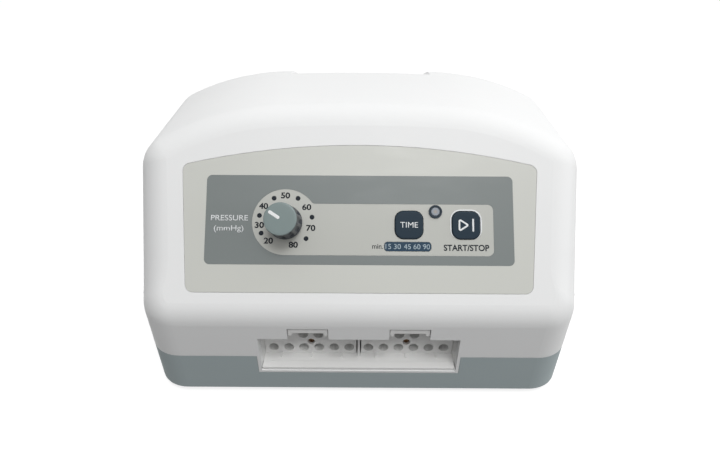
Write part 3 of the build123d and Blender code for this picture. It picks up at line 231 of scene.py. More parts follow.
def buildTurnedPiece():
    # turns a profile round the upright axis and cuts flutes down its side; a profile point holds
    # its radius in x, its share of the flutes' depth in y and its height in z
    tree, given, made = newGroup(
        "turnedPiece",
        [("Profile", "NodeSocketGeometry", None), ("Columns", "NodeSocketInt", 64),
         ("Flutes", "NodeSocketInt", 1), ("Flute radius", "NodeSocketFloat", 1.0),
         ("Flute bite", "NodeSocketFloat", 0.0), ("Crease angle", "NodeSocketFloat", 0.6),
         ("Material", "NodeSocketMaterial", None)],
        [("Geometry", "NodeSocketGeometry")],
        "GeometryNodeTree",
    )
    # a grid with a row for every profile point
    rings = addNode(tree, "GeometryNodeAttributeDomainSize", {0: given["Profile"]}).outputs["Point Count"]
    lastRing = sums(tree, "SUBTRACT", rings, 1.0)
    grid = addNode(tree, "GeometryNodeMeshGrid", {
        "Size X": given["Columns"], "Size Y": lastRing,
        "Vertices X": sums(tree, "ADD", given["Columns"], 1.0), "Vertices Y": rings,
    })
    position = addNode(tree, "GeometryNodeInputPosition").outputs[0]
    column, row = addNode(tree, "ShaderNodeSeparateXYZ", {0: position}).outputs[:2]
    ringNumber = sums(tree, "ROUND", sums(tree, "ADD", row, sums(tree, "MULTIPLY", lastRing, 0.5)))
    sample = addNode(tree, "GeometryNodeSampleIndex", {
        "Geometry": given["Profile"], "Value": position, "Index": ringNumber}, data_type="FLOAT_VECTOR")
    radius, share, height = addNode(tree, "ShaderNodeSeparateXYZ", {0: sample.outputs[0]}).outputs
    turn = sums(tree, "MULTIPLY", sums(tree, "DIVIDE", column, given["Columns"]), 2 * math.pi)

    # how deep a flute bites at this turn
    pitch = sums(tree, "DIVIDE", 2 * math.pi, given["Flutes"])
    halfPitch = sums(tree, "MULTIPLY", pitch, 0.5)
    aside = sums(tree, "WRAP", turn, halfPitch, sums(tree, "MULTIPLY", halfPitch, -1.0))
    across = sums(tree, "MULTIPLY", aside, radius)
    fluteSquare = sums(tree, "POWER", given["Flute radius"], 2.0)
    room = sums(tree, "SUBTRACT", fluteSquare, sums(tree, "MULTIPLY", across, across))
    reach = sums(tree, "SQRT", sums(tree, "MAXIMUM", room, 0.0))
    shallow = sums(tree, "SUBTRACT", given["Flute radius"], given["Flute bite"])
    bite = sums(tree, "SUBTRACT", reach, shallow)
    cut = sums(tree, "MULTIPLY", sums(tree, "MAXIMUM", bite, 0.0), share)
    cutRadius = sums(tree, "SUBTRACT", radius, cut)

    # the grid wrapped round the axis, closed and shaded
    moved = addNode(tree, "ShaderNodeCombineXYZ", {
        0: sums(tree, "MULTIPLY", cutRadius, sums(tree, "COSINE", turn)),
        1: sums(tree, "MULTIPLY", cutRadius, sums(tree, "SINE", turn)),
        2: height,
    })
    shaped = addNode(tree, "GeometryNodeSetPosition", {
        "Geometry": grid.outputs[0], "Position": moved.outputs[0]})
    closed = addNode(tree, "GeometryNodeMergeByDistance", {
        "Geometry": shaped.outputs[0], "Distance": seamReach})
    smooth = addNode(tree, "GeometryNodeSetShadeSmooth", {"Geometry": closed.outputs[0]})
    angle = addNode(tree, "GeometryNodeInputMeshEdgeAngle").outputs["Unsigned Angle"]
    creased = addNode(tree, "GeometryNodeSetShadeSmooth", {
        "Geometry": smooth.outputs[0], "Shade Smooth": False,
        "Selection": sums(tree, "GREATER_THAN", angle, given["Crease angle"]),
    }, domain="EDGE")
    real = addNode(tree, "GeometryNodeRealizeInstances", {"Geometry": creased.outputs[0]})
    done = addNode(tree, "GeometryNodeSetMaterial", {
        "Geometry": real.outputs[0], "Material": given["Material"]})
    tree.links.new(done.outputs[0], made[0])
    return tree


def buildRepeatedPiece():
    # sets a copy of a piece on every point, turned by the point's own "turn"
    tree, given, made = newGroup(
        "repeatedPiece",
        [("Points", "NodeSocketGeometry", None), ("Piece", "NodeSocketObject", None),
         ("Material", "NodeSocketMaterial", None)],
        [("Geometry", "NodeSocketGeometry")],
        "GeometryNodeTree",
    )
    piece = addNode(tree, "GeometryNodeObjectInfo", {"Object": given["Piece"]})
    turn = addNode(tree, "GeometryNodeInputNamedAttribute", {"Name": "turn"}, data_type="FLOAT_VECTOR")
    turned = addNode(tree, "FunctionNodeEulerToRotation", {0: turn.outputs[0]})
    copies = addNode(tree, "GeometryNodeInstanceOnPoints", {
        "Points": given["Points"], "Instance": piece.outputs["Geometry"], "Rotation": turned.outputs[0],
    })
    real = addNode(tree, "GeometryNodeRealizeInstances", {"Geometry": copies.outputs[0]})
    done = addNode(tree, "GeometryNodeSetMaterial", {
        "Geometry": real.outputs[0], "Material": given["Material"]})
    tree.links.new(done.outputs[0], made[0])
    return tree


turnedPiece = buildTurnedPiece()
repeatedPiece = buildRepeatedPiece()


def turnedMesh(profile, material, columns=64, flutes=1, fluteRadius=1.0, fluteBite=0.0, crease=0.6):
    # profile: radius, share of the flutes and height, from the inside round the outside to the top
    line = bpy.data.meshes.new("profile")
    line.from_pydata(profile, [(i, i + 1) for i in range(len(profile) - 1)], [])
    names = socketNames(turnedPiece)
    values = {names["Columns"]: columns, names["Flutes"]: flutes, names["Flute radius"]: fluteRadius,
              names["Flute bite"]: fluteBite, names["Crease angle"]: crease, names["Material"]: material}
    return plainMesh(line, modifiers=[("NODES", {"node_group": turnedPiece, **values})])


def repeatedMesh(pieceMesh, places, material):
    # places: where each copy stands and how it is turned, in millimetres
    points = bpy.data.meshes.new("points")
    points.from_pydata([place.translation for place in places], [], [])
    turns = points.attributes.new("turn", "FLOAT_VECTOR", "POINT")
    for value, place in zip(turns.data, places):
        value.vector = place.to_euler()
    piece = bpy.data.objects.new("piece", pieceMesh)
    names = socketNames(repeatedPiece)
    values = {names["Piece"]: piece, names["Material"]: material}
    mesh = plainMesh(points, toMetres, [("NODES", {"node_group": repeatedPiece, **values})])
    bpy.data.objects.remove(piece)
    return mesh


# shader groups: how each one's noise is drawn, and between which values its mask runs
grainLook = {"detail": 3.0, "roughness": 0.65, "cloudDetail": 4.0}
wipeLook = {"turned": (0.3, 0.2, 0.5), "detail": 5.0, "swirl": 0.6, "clean": 0.42, "wiped": 0.72}
edgeLook = {"samples": 4, "worn": 0.75, "untouched": 0.99}


def buildSparkGrain():
    # the fine eroded texture of a moulded case: a height and a slow change of tone
    group, given, made = newGroup(
        "sparkGrain",
        [("Grain per metre", "NodeSocketFloat", 2200.0), ("Cloud per metre", "NodeSocketFloat", 14.0),
         ("Tone", "NodeSocketFloat", 0.03)],
        [("Height", "NodeSocketFloat"), ("Tone", "NodeSocketFloat")],
    )
    where = addNode(group, "ShaderNodeTexCoord").outputs["Object"]
    fine = addNode(group, "ShaderNodeTexNoise", {
        "Vector": where, "Scale": given["Grain per metre"],
        "Detail": grainLook["detail"], "Roughness": grainLook["roughness"]})
    cloud = addNode(group, "ShaderNodeTexNoise", {
        "Vector": where, "Scale": given["Cloud per metre"], "Detail": grainLook["cloudDetail"]})
    sway = sums(group, "MULTIPLY", sums(group, "SUBTRACT", cloud.outputs[0], 0.5), given["Tone"])
    group.links.new(fine.outputs[0], made["Height"])
    group.links.new(sums(group, "ADD", sway, 1.0), made["Tone"])
    return group


def buildHandling():
    # faint wiped streaks and finger marks, as a mask for roughness
    group, given, made = newGroup(
        "handling",
        [("Marks per metre", "NodeSocketFloat", 45.0), ("Streak", "NodeSocketFloat", 3.0)],
        [("Mask", "NodeSocketFloat")],
    )
    where = addNode(group, "ShaderNodeTexCoord").outputs["Object"]
    stretch = addNode(group, "ShaderNodeCombineXYZ", {0: 1.0, 1: 1.0, 2: given["Streak"]})
    turned = addNode(group, "ShaderNodeMapping", {
        "Vector": where, "Rotation": wipeLook["turned"], "Scale": stretch.outputs[0]})
    noise = addNode(group, "ShaderNodeTexNoise", {
        "Vector": turned.outputs[0], "Scale": given["Marks per metre"],
        "Detail": wipeLook["detail"], "Distortion": wipeLook["swirl"]})
    mask = spread(group, noise.outputs[0], 0.0, 1.0, wipeLook["clean"], wipeLook["wiped"])
    group.links.new(mask, made["Mask"])
    return group


def buildSoftEdge():
    # rounds every sharp edge a little to the eye, and masks it for wear
    group, given, made = newGroup(
        "softEdge",
        [("Radius", "NodeSocketFloat", 0.0003)],
        [("Normal", "NodeSocketVector"), ("Mask", "NodeSocketFloat")],
    )
    rounded = addNode(group, "ShaderNodeBevel", {"Radius": given["Radius"]}, samples=edgeLook["samples"])
    facing = addNode(group, "ShaderNodeNewGeometry").outputs["Normal"]
    alike = addNode(group, "ShaderNodeVectorMath", {0: rounded.outputs[0], 1: facing},
                    operation="DOT_PRODUCT").outputs["Value"]
    group.links.new(rounded.outputs[0], made["Normal"])
    group.links.new(spread(group, alike, 1.0, 0.0, edgeLook["worn"], edgeLook["untouched"]), made["Mask"])
    return group


sparkGrain, handling, softEdge = buildSparkGrain(), buildHandling(), buildSoftEdge()


def put(tree, group, **values):
    # places a shader group with its own values; a socket's spaces are underscores here
    node = addNode(tree, "ShaderNodeGroup", node_tree=group)
    for label, value in values.items():
        node.inputs[label.replace("_", " ")].default_value = value
    return node.outputs


# materials; lengths in metres
grainDepth = {"plastic": 0.0004, "metal": 0.0002}
wornPale = 0.15        # how far a worn edge goes towards white


def newMaterial(name):
    material = bpy.data.materials.new(name)
    material.use_nodes = True
    return material, material.node_tree, material.node_tree.nodes["Principled BSDF"]


def grained(tree, shader, grain, depth, bump, edge):
    # the grain and the soft edges, as the shader's normal
    bumped = addNode(tree, "ShaderNodeBump", {
        "Strength": bump, "Distance": depth, "Height": grain["Height"], "Normal": edge["Normal"]})
    tree.links.new(bumped.outputs[0], shader.inputs["Normal"])


def mouldedPlastic(name, colour, rough, grain=2200.0, bump=0.06, cloud=14.0, tone=0.03, marks=0.06,
                   specular=0.5, edge=0.0003, worn=0.06, darkBodyAndShade=None):
    # the last argument: a darker tone for what lies low over the panel, and the two levels it changes
    # between; that darker tone is partly a darker body and partly painted shade on a side that faces down
    material, tree, shader = newMaterial(name)
    texture = put(tree, sparkGrain, Grain_per_metre=grain, Cloud_per_metre=cloud, Tone=tone)
    wiped, rim = put(tree, handling)["Mask"], put(tree, softEdge, Radius=edge)
    pale = tuple((1 - wornPale) * part + wornPale for part in colour)
    # painted shade, in part: low over the panel the colour turns to the darker tone
    if darkBodyAndShade:
        bodyAndShadeTone, levels = darkBodyAndShade
        where = addNode(tree, "ShaderNodeTexCoord").outputs["Object"]
        raised = addNode(tree, "ShaderNodeVectorMath", {0: where, 1: panelOut}, operation="DOT_PRODUCT")
        onTop = spread(tree, raised.outputs["Value"], 0.0, 1.0, *levels)
        colour = blendColours(tree, onTop, bodyAndShadeTone, colour)
    tinted = addNode(tree, "ShaderNodeVectorMath", {0: colour, "Scale": texture["Tone"]}, operation="SCALE")
    wear = sums(tree, "MULTIPLY", rim["Mask"], worn)
    tree.links.new(blendColours(tree, wear, tinted.outputs[0], pale), shader.inputs["Base Color"])
    tree.links.new(spread(tree, wiped, rough, rough - marks), shader.inputs["Roughness"])
    grained(tree, shader, texture, grainDepth["plastic"], bump, rim)
    shader.inputs["Specular IOR Level"].default_value = specular
    return material


def machinedMetal(name, colour, rough, lines=3000.0, bump=0.05, cloud=120.0, tone=0.18, marks=0.1,
                  marksPerMetre=220.0, edge=0.0001):
    material, tree, shader = newMaterial(name)
    shader.inputs["Metallic"].default_value = 1.0
    texture = put(tree, sparkGrain, Grain_per_metre=lines, Cloud_per_metre=cloud, Tone=tone)
    wiped = put(tree, handling, Marks_per_metre=marksPerMetre)["Mask"]
    tinted = addNode(tree, "ShaderNodeVectorMath", {0: colour, "Scale": texture["Tone"]}, operation="SCALE")
    tree.links.new(tinted.outputs[0], shader.inputs["Base Color"])
    tree.links.new(spread(tree, wiped, rough, rough + marks), shader.inputs["Roughness"])
    grained(tree, shader, texture, grainDepth["metal"], bump, put(tree, softEdge, Radius=edge))
    return material


def frostedLens(name, rim, core, rough, through, middle, reach, marks=0.06, marksPerMetre=300.0,
                refraction=1.49):
    # a frosted light pipe, a little warmer over the lamp at its middle
    material, tree, shader = newMaterial(name)
    wiped = put(tree, handling, Marks_per_metre=marksPerMetre)["Mask"]
    where = addNode(tree, "ShaderNodeTexCoord").outputs["Object"]
    away = addNode(tree, "ShaderNodeVectorMath", {0: where, 1: middle}, operation="DISTANCE")
    warm = spread(tree, away.outputs["Value"], 1.0, 0.0, 0.0, reach)
    tree.links.new(blendColours(tree, warm, rim, core), shader.inputs["Base Color"])
    tree.links.new(spread(tree, wiped, rough, rough + marks), shader.inputs["Roughness"])
    shader.inputs["Transmission Weight"].default_value = through
    shader.inputs["IOR"].default_value = refraction
    return material


lampPlace = {"x": 43.1, "up": 59.5, "proud": 0.7}        # mm on the panel
lampMiddle = toMetres @ onPanel @ Vector((lampPlace["x"], lampPlace["up"], lampPlace["proud"]))
knobBodyAndShadeLine = (17.6, 18.0)        # mm over the panel; the knob is dark below and pale above, the dark partly its body and partly painted shade on its side
bodyAndShadeLevels = [(panelPlace["foot"].dot(panelOut) + height) * mm for height in knobBodyAndShadeLine]
finishes = {
    "white_shell": mouldedPlastic("whiteShell", (0.855, 0.86, 0.86), 0.48, specular=0.25, edge=0.0004),
    "grey_shell": mouldedPlastic("greyShell", (0.415, 0.478, 0.49), 0.6, bump=0.1, specular=0.2),
    "recess_white": mouldedPlastic("recessWhite", (0.80, 0.80, 0.79), 0.45, specular=0.3),
    "overlay_sheet": mouldedPlastic("overlaySheet", (0.605, 0.612, 0.572), 0.48, grain=5200.0, bump=0.05,
                                    marks=0.1),
    # painted shade: the knob's side turns near black below its face, partly a darker body and partly the
    # shade of a side that faces down
    "knob_grey": mouldedPlastic("knobGreyAndShade", (0.195, 0.248, 0.245), 0.34, grain=3600.0, bump=0.04,
                                darkBodyAndShade=((0.03, 0.037, 0.05), bodyAndShadeLevels)),
    "marker_white": mouldedPlastic("markerWhite", (0.84, 0.85, 0.85), 0.4),
    "key_dark": mouldedPlastic("keyDark", (0.011, 0.027, 0.044), 0.4, grain=4200.0, bump=0.06, marks=0.12,
                               specular=0.18, edge=0.0006, worn=0.25),
    "lamp_dark": mouldedPlastic("lampDark", (0.016, 0.030, 0.045), 0.3, grain=4200.0, bump=0.02,
                                specular=0.22, edge=0.0001),
    "lamp_clear": frostedLens("lampClear", (0.32, 0.36, 0.41), (0.43, 0.37, 0.31), 0.3, 0.15, lampMiddle,
                              0.0016),
    "window_smoke": mouldedPlastic("windowSmoke", (0.014, 0.047, 0.085), 0.3, grain=4200.0, bump=0.02,
                                   specular=0.3),
    "black_plastic": mouldedPlastic("blackPlastic", (0.012, 0.012, 0.013), 0.42),
    "red_rocker": mouldedPlastic("rockerBlack", (0.014, 0.014, 0.016), 0.3, bump=0.02),
    "foot_rubber": mouldedPlastic("footRubber", (0.018, 0.018, 0.018), 0.75, bump=0.2),
    "screw_steel": machinedMetal("screwSteel", (0.55, 0.55, 0.54), 0.32),
    "screw_brass": machinedMetal("screwBrass", (0.12, 0.07, 0.04), 0.5),
    "shaft_steel": machinedMetal("shaftSteel", (0.6, 0.6, 0.6), 0.25),
    "blade_nickel": machinedMetal("bladeNickel", (0.72, 0.69, 0.62), 0.22),
    "board_green": mouldedPlastic("boardGreen", (0.01, 0.085, 0.03), 0.35),
    "part_black": mouldedPlastic("partBlack", (0.01, 0.01, 0.011), 0.45),
    "part_metal": machinedMetal("partMetal", (0.6, 0.6, 0.61), 0.35),
    "led_white": mouldedPlastic("ledWhite", (0.8, 0.8, 0.7), 0.3),
    "air_plastic": mouldedPlastic("airPlastic", (0.55, 0.57, 0.58), 0.45),
    "rotor_plastic": mouldedPlastic("rotorPlastic", (0.78, 0.76, 0.68), 0.45),
    "pump_frame": machinedMetal("pumpFrame", (0.5, 0.51, 0.52), 0.42),
    "lamination": machinedMetal("lamination", (0.16, 0.17, 0.18), 0.5),
    "copper_coil": machinedMetal("copperCoil", (0.62, 0.2, 0.07), 0.35, lines=900.0, bump=0.3),
    "diaphragm_rubber": mouldedPlastic("diaphragmRubber", (0.02, 0.02, 0.02), 0.7),
    "hose_rubber": mouldedPlastic("hoseRubber", (0.25, 0.26, 0.26), 0.6),
    "filter_foam": mouldedPlastic("filterFoam", (0.02, 0.02, 0.022), 0.95, grain=1500.0, bump=1.0),
    "winding_tape": mouldedPlastic("windingTape", (0.55, 0.34, 0.03), 0.4),
}
slotOf = {row["node"]: row["material_slot"] for row in frame["record"]["subparts"]}
for name, node in nodes.items():
    node.data.materials.clear()
    node.data.materials.append(finishes[slotOf[name]])
print("stage: finishes set")


# printing on the overlay: a dark field, a pale band that swells round the knob, and their openings
printing = {
    "film": 0.03,                               # thickness of one printed layer, mm
    "gap": 0.02,                                # between the field and the band
    "field": {"halfWidth": 87.5, "low": 29.0, "high": 80.1, "corner": 3.0},
    "band": {"right": 76.0, "low": 34.4, "high": 63.7, "corner": 3.3},
    "disc": {"x": -42.25, "up": 53.2, "radius": 18.8, "join": 2.4, "steps": 72},
    "dial": {"x": -42.1, "up": 52.9},
    "bushing": 4.1,
    "lampHole": 3.4,
    "keys": {"time": (28.1, 51.85), "start": (60.4, 51.85), "hole": 16.5, "corner": 5.2, "top": 0.9},
    "window": {"x": 27.3, "up": 39.55, "length": 26.8, "height": 5.5, "corner": 2.0},
}
film, dial, keys, window = printing["film"], printing["dial"], printing["keys"], printing["window"]


def printInk(name, colour, rough=0.46, bump=0.05, **looks):
    return mouldedPlastic(name, colour, rough, grain=5200.0, bump=bump, worn=0.0, **looks)


fieldGrey = printInk("fieldGrey", (0.190, 0.213, 0.210), marks=0.1)
bandPale = printInk("bandPale", (0.50, 0.507, 0.472), marks=0.1)
inkDark = printInk("inkDark", (0.008, 0.013, 0.020), 0.45, 0.03, specular=0.2)
whiteInkAndHighlight = printInk("whiteInkAndHighlight", (0.80, 0.82, 0.83), 0.45, 0.03)


def panelPrint(name, outlines, level, material, body="case", thickness=film):
    lift = Matrix.Translation((0, 0, level + thickness / 2))
    mesh = plainMesh(flatCurve(outlines, thickness), toMetres @ onPanel @ lift)
    finishPiece(name, mesh, material, body)


def panelWords(name, level, material, items, body="case", bold=0.0, wider=0.0):
    # items: words, middle across, middle up, width, height
    meshes = []
    for words, x, up, width, height in items:
        place = toMetres @ onPanel @ Matrix.Translation((x, up, level + film / 2))
        meshes.append(lettering(words, width, height, place, film, bold, wider))
    finishPiece(name, joined(name, meshes), material, body)


def bandOutline(spare=0.0):
    # the band and the disc round the knob in one line
    band, disc = printing["band"], printing["disc"]
    x, up, radius, join = disc["x"], disc["up"], disc["radius"], disc["join"]
    rise = band["high"] - up + join
    joinX = x + math.sqrt((radius + join) ** 2 - rise ** 2)
    joinTurn = math.degrees(math.atan2(rise, joinX - x))
    left, low = band["right"] - band["corner"], band["low"] + band["corner"]
    outline = arc(left, low, band["corner"] + spare, 270, 360)
    outline += arc(left, band["high"] - band["corner"], band["corner"] + spare, 0, 90)
    outline += arc(joinX, band["high"] + join, join - spare, 270, joinTurn + 180)
    return outline + arc(x, up, radius + spare, joinTurn, 270, disc["steps"])


field = printing["field"]
fieldMiddle, fieldHeight = (field["low"] + field["high"]) / 2, field["high"] - field["low"]
fieldOutline = roundedBox(0, fieldMiddle, 2 * field["halfWidth"], fieldHeight, field["corner"])
panelPrint("fieldPrint", [fieldOutline, bandOutline(printing["gap"])], 0.0, fieldGrey)
keyHoles = [roundedBox(*keys[key], keys["hole"], keys["hole"], keys["corner"]) for key in ("time", "start")]
windowHole = roundedBox(window["x"], window["up"], window["length"], window["height"], window["corner"])
bandHoles = [ring(dial["x"], dial["up"], printing["bushing"]), windowHole, *keyHoles,
             ring(lampPlace["x"], lampPlace["up"], printing["lampHole"])]
panelPrint("bandPrint", [bandOutline(), *bandHoles], 0.0, bandPale)

# each mark has its angle in degrees from the top and its distance from the knob's middle
dialMarks = {
    "height": 3.5, "width": 5.2, "bold": 0.03, "dotSize": 1.38, "dotColumns": 24,
    "numbers": {20: (-138.0, 14.0), 30: (-95.9, 14.8), 40: (-53.6, 15.7), 50: (-0.8, 15.5),
                60: (53.5, 14.9), 70: (102.0, 14.8), 80: (159.5, 13.5)},
    "dots": ((-114.4, 14.9), (-75.2, 15.3), (-25.9, 15.4), (26.6, 15.5), (78.4, 15.4), (127.5, 15.0)),
}


def dialPoint(turn, radius):
    turned = math.radians(turn)
    return dial["x"] + radius * math.sin(turned), dial["up"] + radius * math.cos(turned)


numbers = [(str(number), *dialPoint(*mark), dialMarks["width"], dialMarks["height"])
           for number, mark in dialMarks["numbers"].items()]
panelWords("dialNumbers", film, inkDark, numbers, bold=dialMarks["bold"])
dotSize = dialMarks["dotSize"]
dotProfile = [(0, 0, 0), (dotSize, 0, 0), (dotSize, 0, film), (0, 0, film)]
dot = turnedMesh(dotProfile, inkDark, dialMarks["dotColumns"])
dotPlaces = [onPanel @ Matrix.Translation((*dialPoint(*mark), film)) for mark in dialMarks["dots"]]
finishPiece("dialDots", repeatedMesh(dot, dotPlaces, inkDark), inkDark, "case")

# words with their middle across, middle up, width and height; how bold or wide they are drawn
wording = {
    "pressure": {"bold": 0.012, "items": [("PRESSURE", -73.9, 55.4, 21.1, 3.2),
                                          ("(mmHg)", -74.2, 49.1, 16.9, 4.1)]},
    "startStop": {"wider": 0.026, "items": [("START/STOP", 60.5, 39.05, 25.7, 3.6)]},
    "minute": {"bold": 0.01, "items": [("min.", 10.3, 39.6, 6.1, 2.7)]},
    "time": {"bold": 0.004, "items": [("TIME", *keys["time"], 10.1, 3.2)]},
}
panelWords("pressureWords", film, whiteInkAndHighlight, **wording["pressure"])
panelWords("startStopWords", film, inkDark, **wording["startStop"])
panelWords("minuteWord", film, inkDark, **wording["minute"])

# the minutes, each with its middle across from the window's middle and its width
windowMarks = {
    "height": 2.9, "bold": 0.008,
    "minutes": {15: (-10.97, 3.2), 30: (-5.84, 4.0), 45: (-0.22, 4.0), 60: (5.22, 4.0), 90: (10.58, 4.0)},
}
windowInk = mouldedPlastic("windowInk", (0.42, 0.52, 0.58), 0.4, worn=0.0)
minutes = [(str(number), window["x"] + x, window["up"], width, windowMarks["height"])
           for number, (x, width) in windowMarks["minutes"].items()]
panelWords("windowNumbers", 0.0, windowInk, minutes, bold=windowMarks["bold"])
panelWords("timeWord", keys["top"], whiteInkAndHighlight, body="time_button", **wording["time"])
print("stage: overlay printed")


# play and bar sign on the start key, and a white ring round it that stands for the light on its raised rim:
# a painted highlight, broad at the top and thin at the bottom
startSign = {"left": -4.35, "right": 2.1, "half": 4.1, "stroke": 0.98, "corner": 1.05, "leastCorner": 0.15,
             "bar": 3.9, "barHeight": 7.3}
signX, signUp = keys["start"]


def signTriangle(inset):
    # every side of the triangle moves in by inset
    slope = math.atan2(startSign["half"], startSign["right"] - startSign["left"])
    tipBack, cornerDown = inset / math.sin(slope), inset * math.tan((math.pi / 2 + slope) / 2)
    left, right = signX + startSign["left"] + inset, signX + startSign["right"] - tipBack
    corner = max(startSign["corner"] - inset, startSign["leastCorner"])
    return roundedTriangle(left, right, signUp, startSign["half"] - cornerDown, corner)


stroke = startSign["stroke"]
signBar = roundedBox(signX + startSign["bar"], signUp, stroke, startSign["barHeight"], stroke / 2 - hair)
signOutlines = [signTriangle(0.0), signTriangle(stroke), signBar]
panelPrint("startSign", signOutlines, keys["top"], whiteInkAndHighlight, body="start_stop_button")
rimHighlight = {"width": 0.75, "drop": 0.35, "thickness": 0.16}        # a painted highlight of the raised rim: it thins out to a hair at the bottom, where the rim is in shade
rimHighlightSize = keys["hole"] + 2 * rimHighlight["width"]
rimHighlightOutline = roundedBox(signX, signUp + rimHighlight["drop"], rimHighlightSize, rimHighlightSize - 2 * rimHighlight["drop"],
                         keys["corner"] + rimHighlight["width"])
# painted highlight: a white ring round the start key, where light falls on its raised rim
panelPrint("startBead", [rimHighlightOutline, keyHoles[1]], film, whiteInkAndHighlight, thickness=rimHighlight["thickness"])
print("stage: key signs made")


# the knob: its side is fluted, its face flat with a soft rim; face, waist, skirt, room and bore are
# radii, skirtFoot and skirtTop round the skirt, and all heights stand on the panel
knobShape = {
    "lift": 0.8, "height": 18.2, "face": 8.95, "waist": 9.6, "rim": 1.3, "soft": 0.6,
    "skirt": 9.75, "skirtHeight": 1.4, "skirtFoot": 0.4, "skirtTop": 0.5,
    "room": 6.37, "roomTop": 5.2, "bore": 3.02, "boreTop": 16.0,
    "flutes": 12, "fluteRadius": 2.0, "fluteBite": 1.0, "fluteStart": 9, "fluteEnd": 7,
    "rings": 12, "columns": 240, "crease": 0.9, "faceRing": 2.2,
    "pointer": {"turn": 56.6, "start": 0.4, "length": 7.0, "width": 1.75, "thickness": 0.3, "proud": 0.1},
}


def knobProfile():
    k = knobShape
    skirtTop, rimLow = k["lift"] + k["skirtHeight"], k["height"] - k["rim"]
    foot, shoulder, soft = k["skirtFoot"], k["skirtTop"], k["soft"]
    profile = [(0, 0, k["boreTop"]), (k["bore"], 0, k["boreTop"]), (k["bore"], 0, k["roomTop"]),
               (k["room"], 0, k["roomTop"]), (k["room"], 0, k["lift"])]
    skirt = arc(k["skirt"] - foot, k["lift"] + foot, foot, 270, 360, steps=4)
    skirt += arc(k["skirt"] - shoulder, skirtTop - shoulder, shoulder, 0, 70, steps=5)
    profile += [(radius, 0, height) for radius, height in skirt]
    low = skirtTop + shoulder
    for i in range(k["rings"] + 1):
        # the flutes run out over the first and the last part of the side
        share = i / k["rings"]
        height = low + (rimLow - low) * share
        fade = min(1.0, share * k["fluteStart"], (1 - share) * k["fluteEnd"]) ** 0.5
        taper = (height - k["lift"]) / (k["height"] - k["lift"])
        profile.append((k["waist"] + (k["face"] - k["waist"]) * taper, fade, height))
    crown = arc(k["face"] - soft, k["height"] - soft, soft, 4, 90, steps=7)
    profile += [(radius, 0, height) for radius, height in crown]
    return profile + [(k["face"] - k["faceRing"], 0, k["height"]), (0, 0, k["height"])]


knobMesh = turnedMesh(knobProfile(), finishes["knob_grey"], knobShape["columns"], knobShape["flutes"],
                      knobShape["fluteRadius"], knobShape["fluteBite"], knobShape["crease"])
knobMesh.transform(toMetres @ onPanel @ Matrix.Translation((dial["x"], dial["up"], 0)))
finishPiece("flutedKnob", knobMesh, finishes["knob_grey"], "knob", ["pressure_knob"])
pointer = knobShape["pointer"]
pointerMiddle, pointerEnd = pointer["start"] + pointer["length"] / 2, pointer["width"] / 2 - hair
pointerOutline = roundedBox(pointerMiddle, 0, pointer["length"], pointer["width"], pointerEnd)
pointerLift = knobShape["height"] + pointer["proud"] - pointer["thickness"] / 2
pointerPlace = Matrix.Translation((dial["x"], dial["up"], pointerLift))
pointerTurn = Matrix.Rotation(math.radians(90 + pointer["turn"]), 4, "Z")
pointerMesh = plainMesh(flatCurve([pointerOutline], pointer["thickness"]),
                        toMetres @ onPanel @ pointerPlace @ pointerTurn)
finishPiece("pointerLine", pointerMesh, finishes["marker_white"], "knob", ["knob_pointer"])
print("stage: knob made")


# screws with a domed head and a cross recess; a seat is the middle of the head's underside and the
# recess's turn, and the case's seats stand in from its ends and from its flared sides
caseSeat = {"ends": 18.0, "sides": 14.0, "height": 6.4, "spin": 25}


def caseSeats():
    seats = []
    flare = math.tan(math.radians(caseShape["flare"]))
    for depth in (caseSeat["ends"], caseShape["depth"] - caseSeat["ends"]):
        half = caseShape["halfWidth"] + depth * flare - caseSeat["sides"]
        for side in (-1, 1):
            point = (side * half, caseShape["front"] + depth, caseSeat["height"])
            seats.append((point, caseSeat["spin"] * side + depth))
    return seats


screwSizes = {
    "block": {"node": "block_screws", "finish": "screw_brass", "shank": 1.5, "length": 18.4,
              "head": 2.1, "thickness": 2.9, "arm": 1.25, "slot": 0.62, "deep": 1.1, "tilt": 90,
              "seats": [((-29.275, -71.85, 31.2), 20), ((29.275, -71.85, 31.2), 65)]},
    "inlet": {"node": "inlet_screws", "finish": "screw_steel", "shank": 1.25, "length": 8.0,
              "head": 2.8, "thickness": 1.2, "arm": 1.5, "slot": 0.7, "deep": 0.8, "tilt": -90,
              "seats": [((-104.0, 87.05, 62.0), 12), ((-64.0, 87.05, 62.0), 50)]},
    "case": {"node": "case_screws", "finish": "screw_steel", "shank": 1.8, "length": 20.0,
             "head": 3.5, "thickness": 2.4, "arm": 2.0, "slot": 0.95, "deep": 1.4, "tilt": 180,
             "seats": caseSeats()},
}
# brim is a share of the head's thickness, the next three are shares of the recess's arm and slot
screwHead = {"brim": 0.35, "armFloor": 0.45, "armOver": 1.2, "slotLeast": 0.6, "over": 0.5,
             "domeStep": 15, "columns": 40}


def crossCutter(size):
    # two crossed wedges that narrow towards the recess's floor
    box = bmesh.new()
    low, top = size["thickness"] - size["deep"], size["thickness"] + screwHead["over"]
    for alongX in (True, False):
        rings = []
        for height, share in ((low, screwHead["armFloor"]), (top, screwHead["armOver"])):
            slotShare = screwHead["slotLeast"] + (1 - screwHead["slotLeast"]) * share
            long, wide = size["arm"] * share, size["slot"] / 2 * slotShare
            halfX, halfY = (long, wide) if alongX else (wide, long)
            rings.append([box.verts.new((x * halfX, y * halfY, height))
                          for x, y in ((-1, -1), (1, -1), (1, 1), (-1, 1))])
        lowRing, topRing = rings
        box.faces.new(lowRing[::-1])
        box.faces.new(topRing)
        for i in range(4):
            box.faces.new((lowRing[i], lowRing[(i + 1) % 4], topRing[(i + 1) % 4], topRing[i]))
    mesh = bpy.data.meshes.new("cross")
    box.to_mesh(mesh)
    box.free()
    return mesh


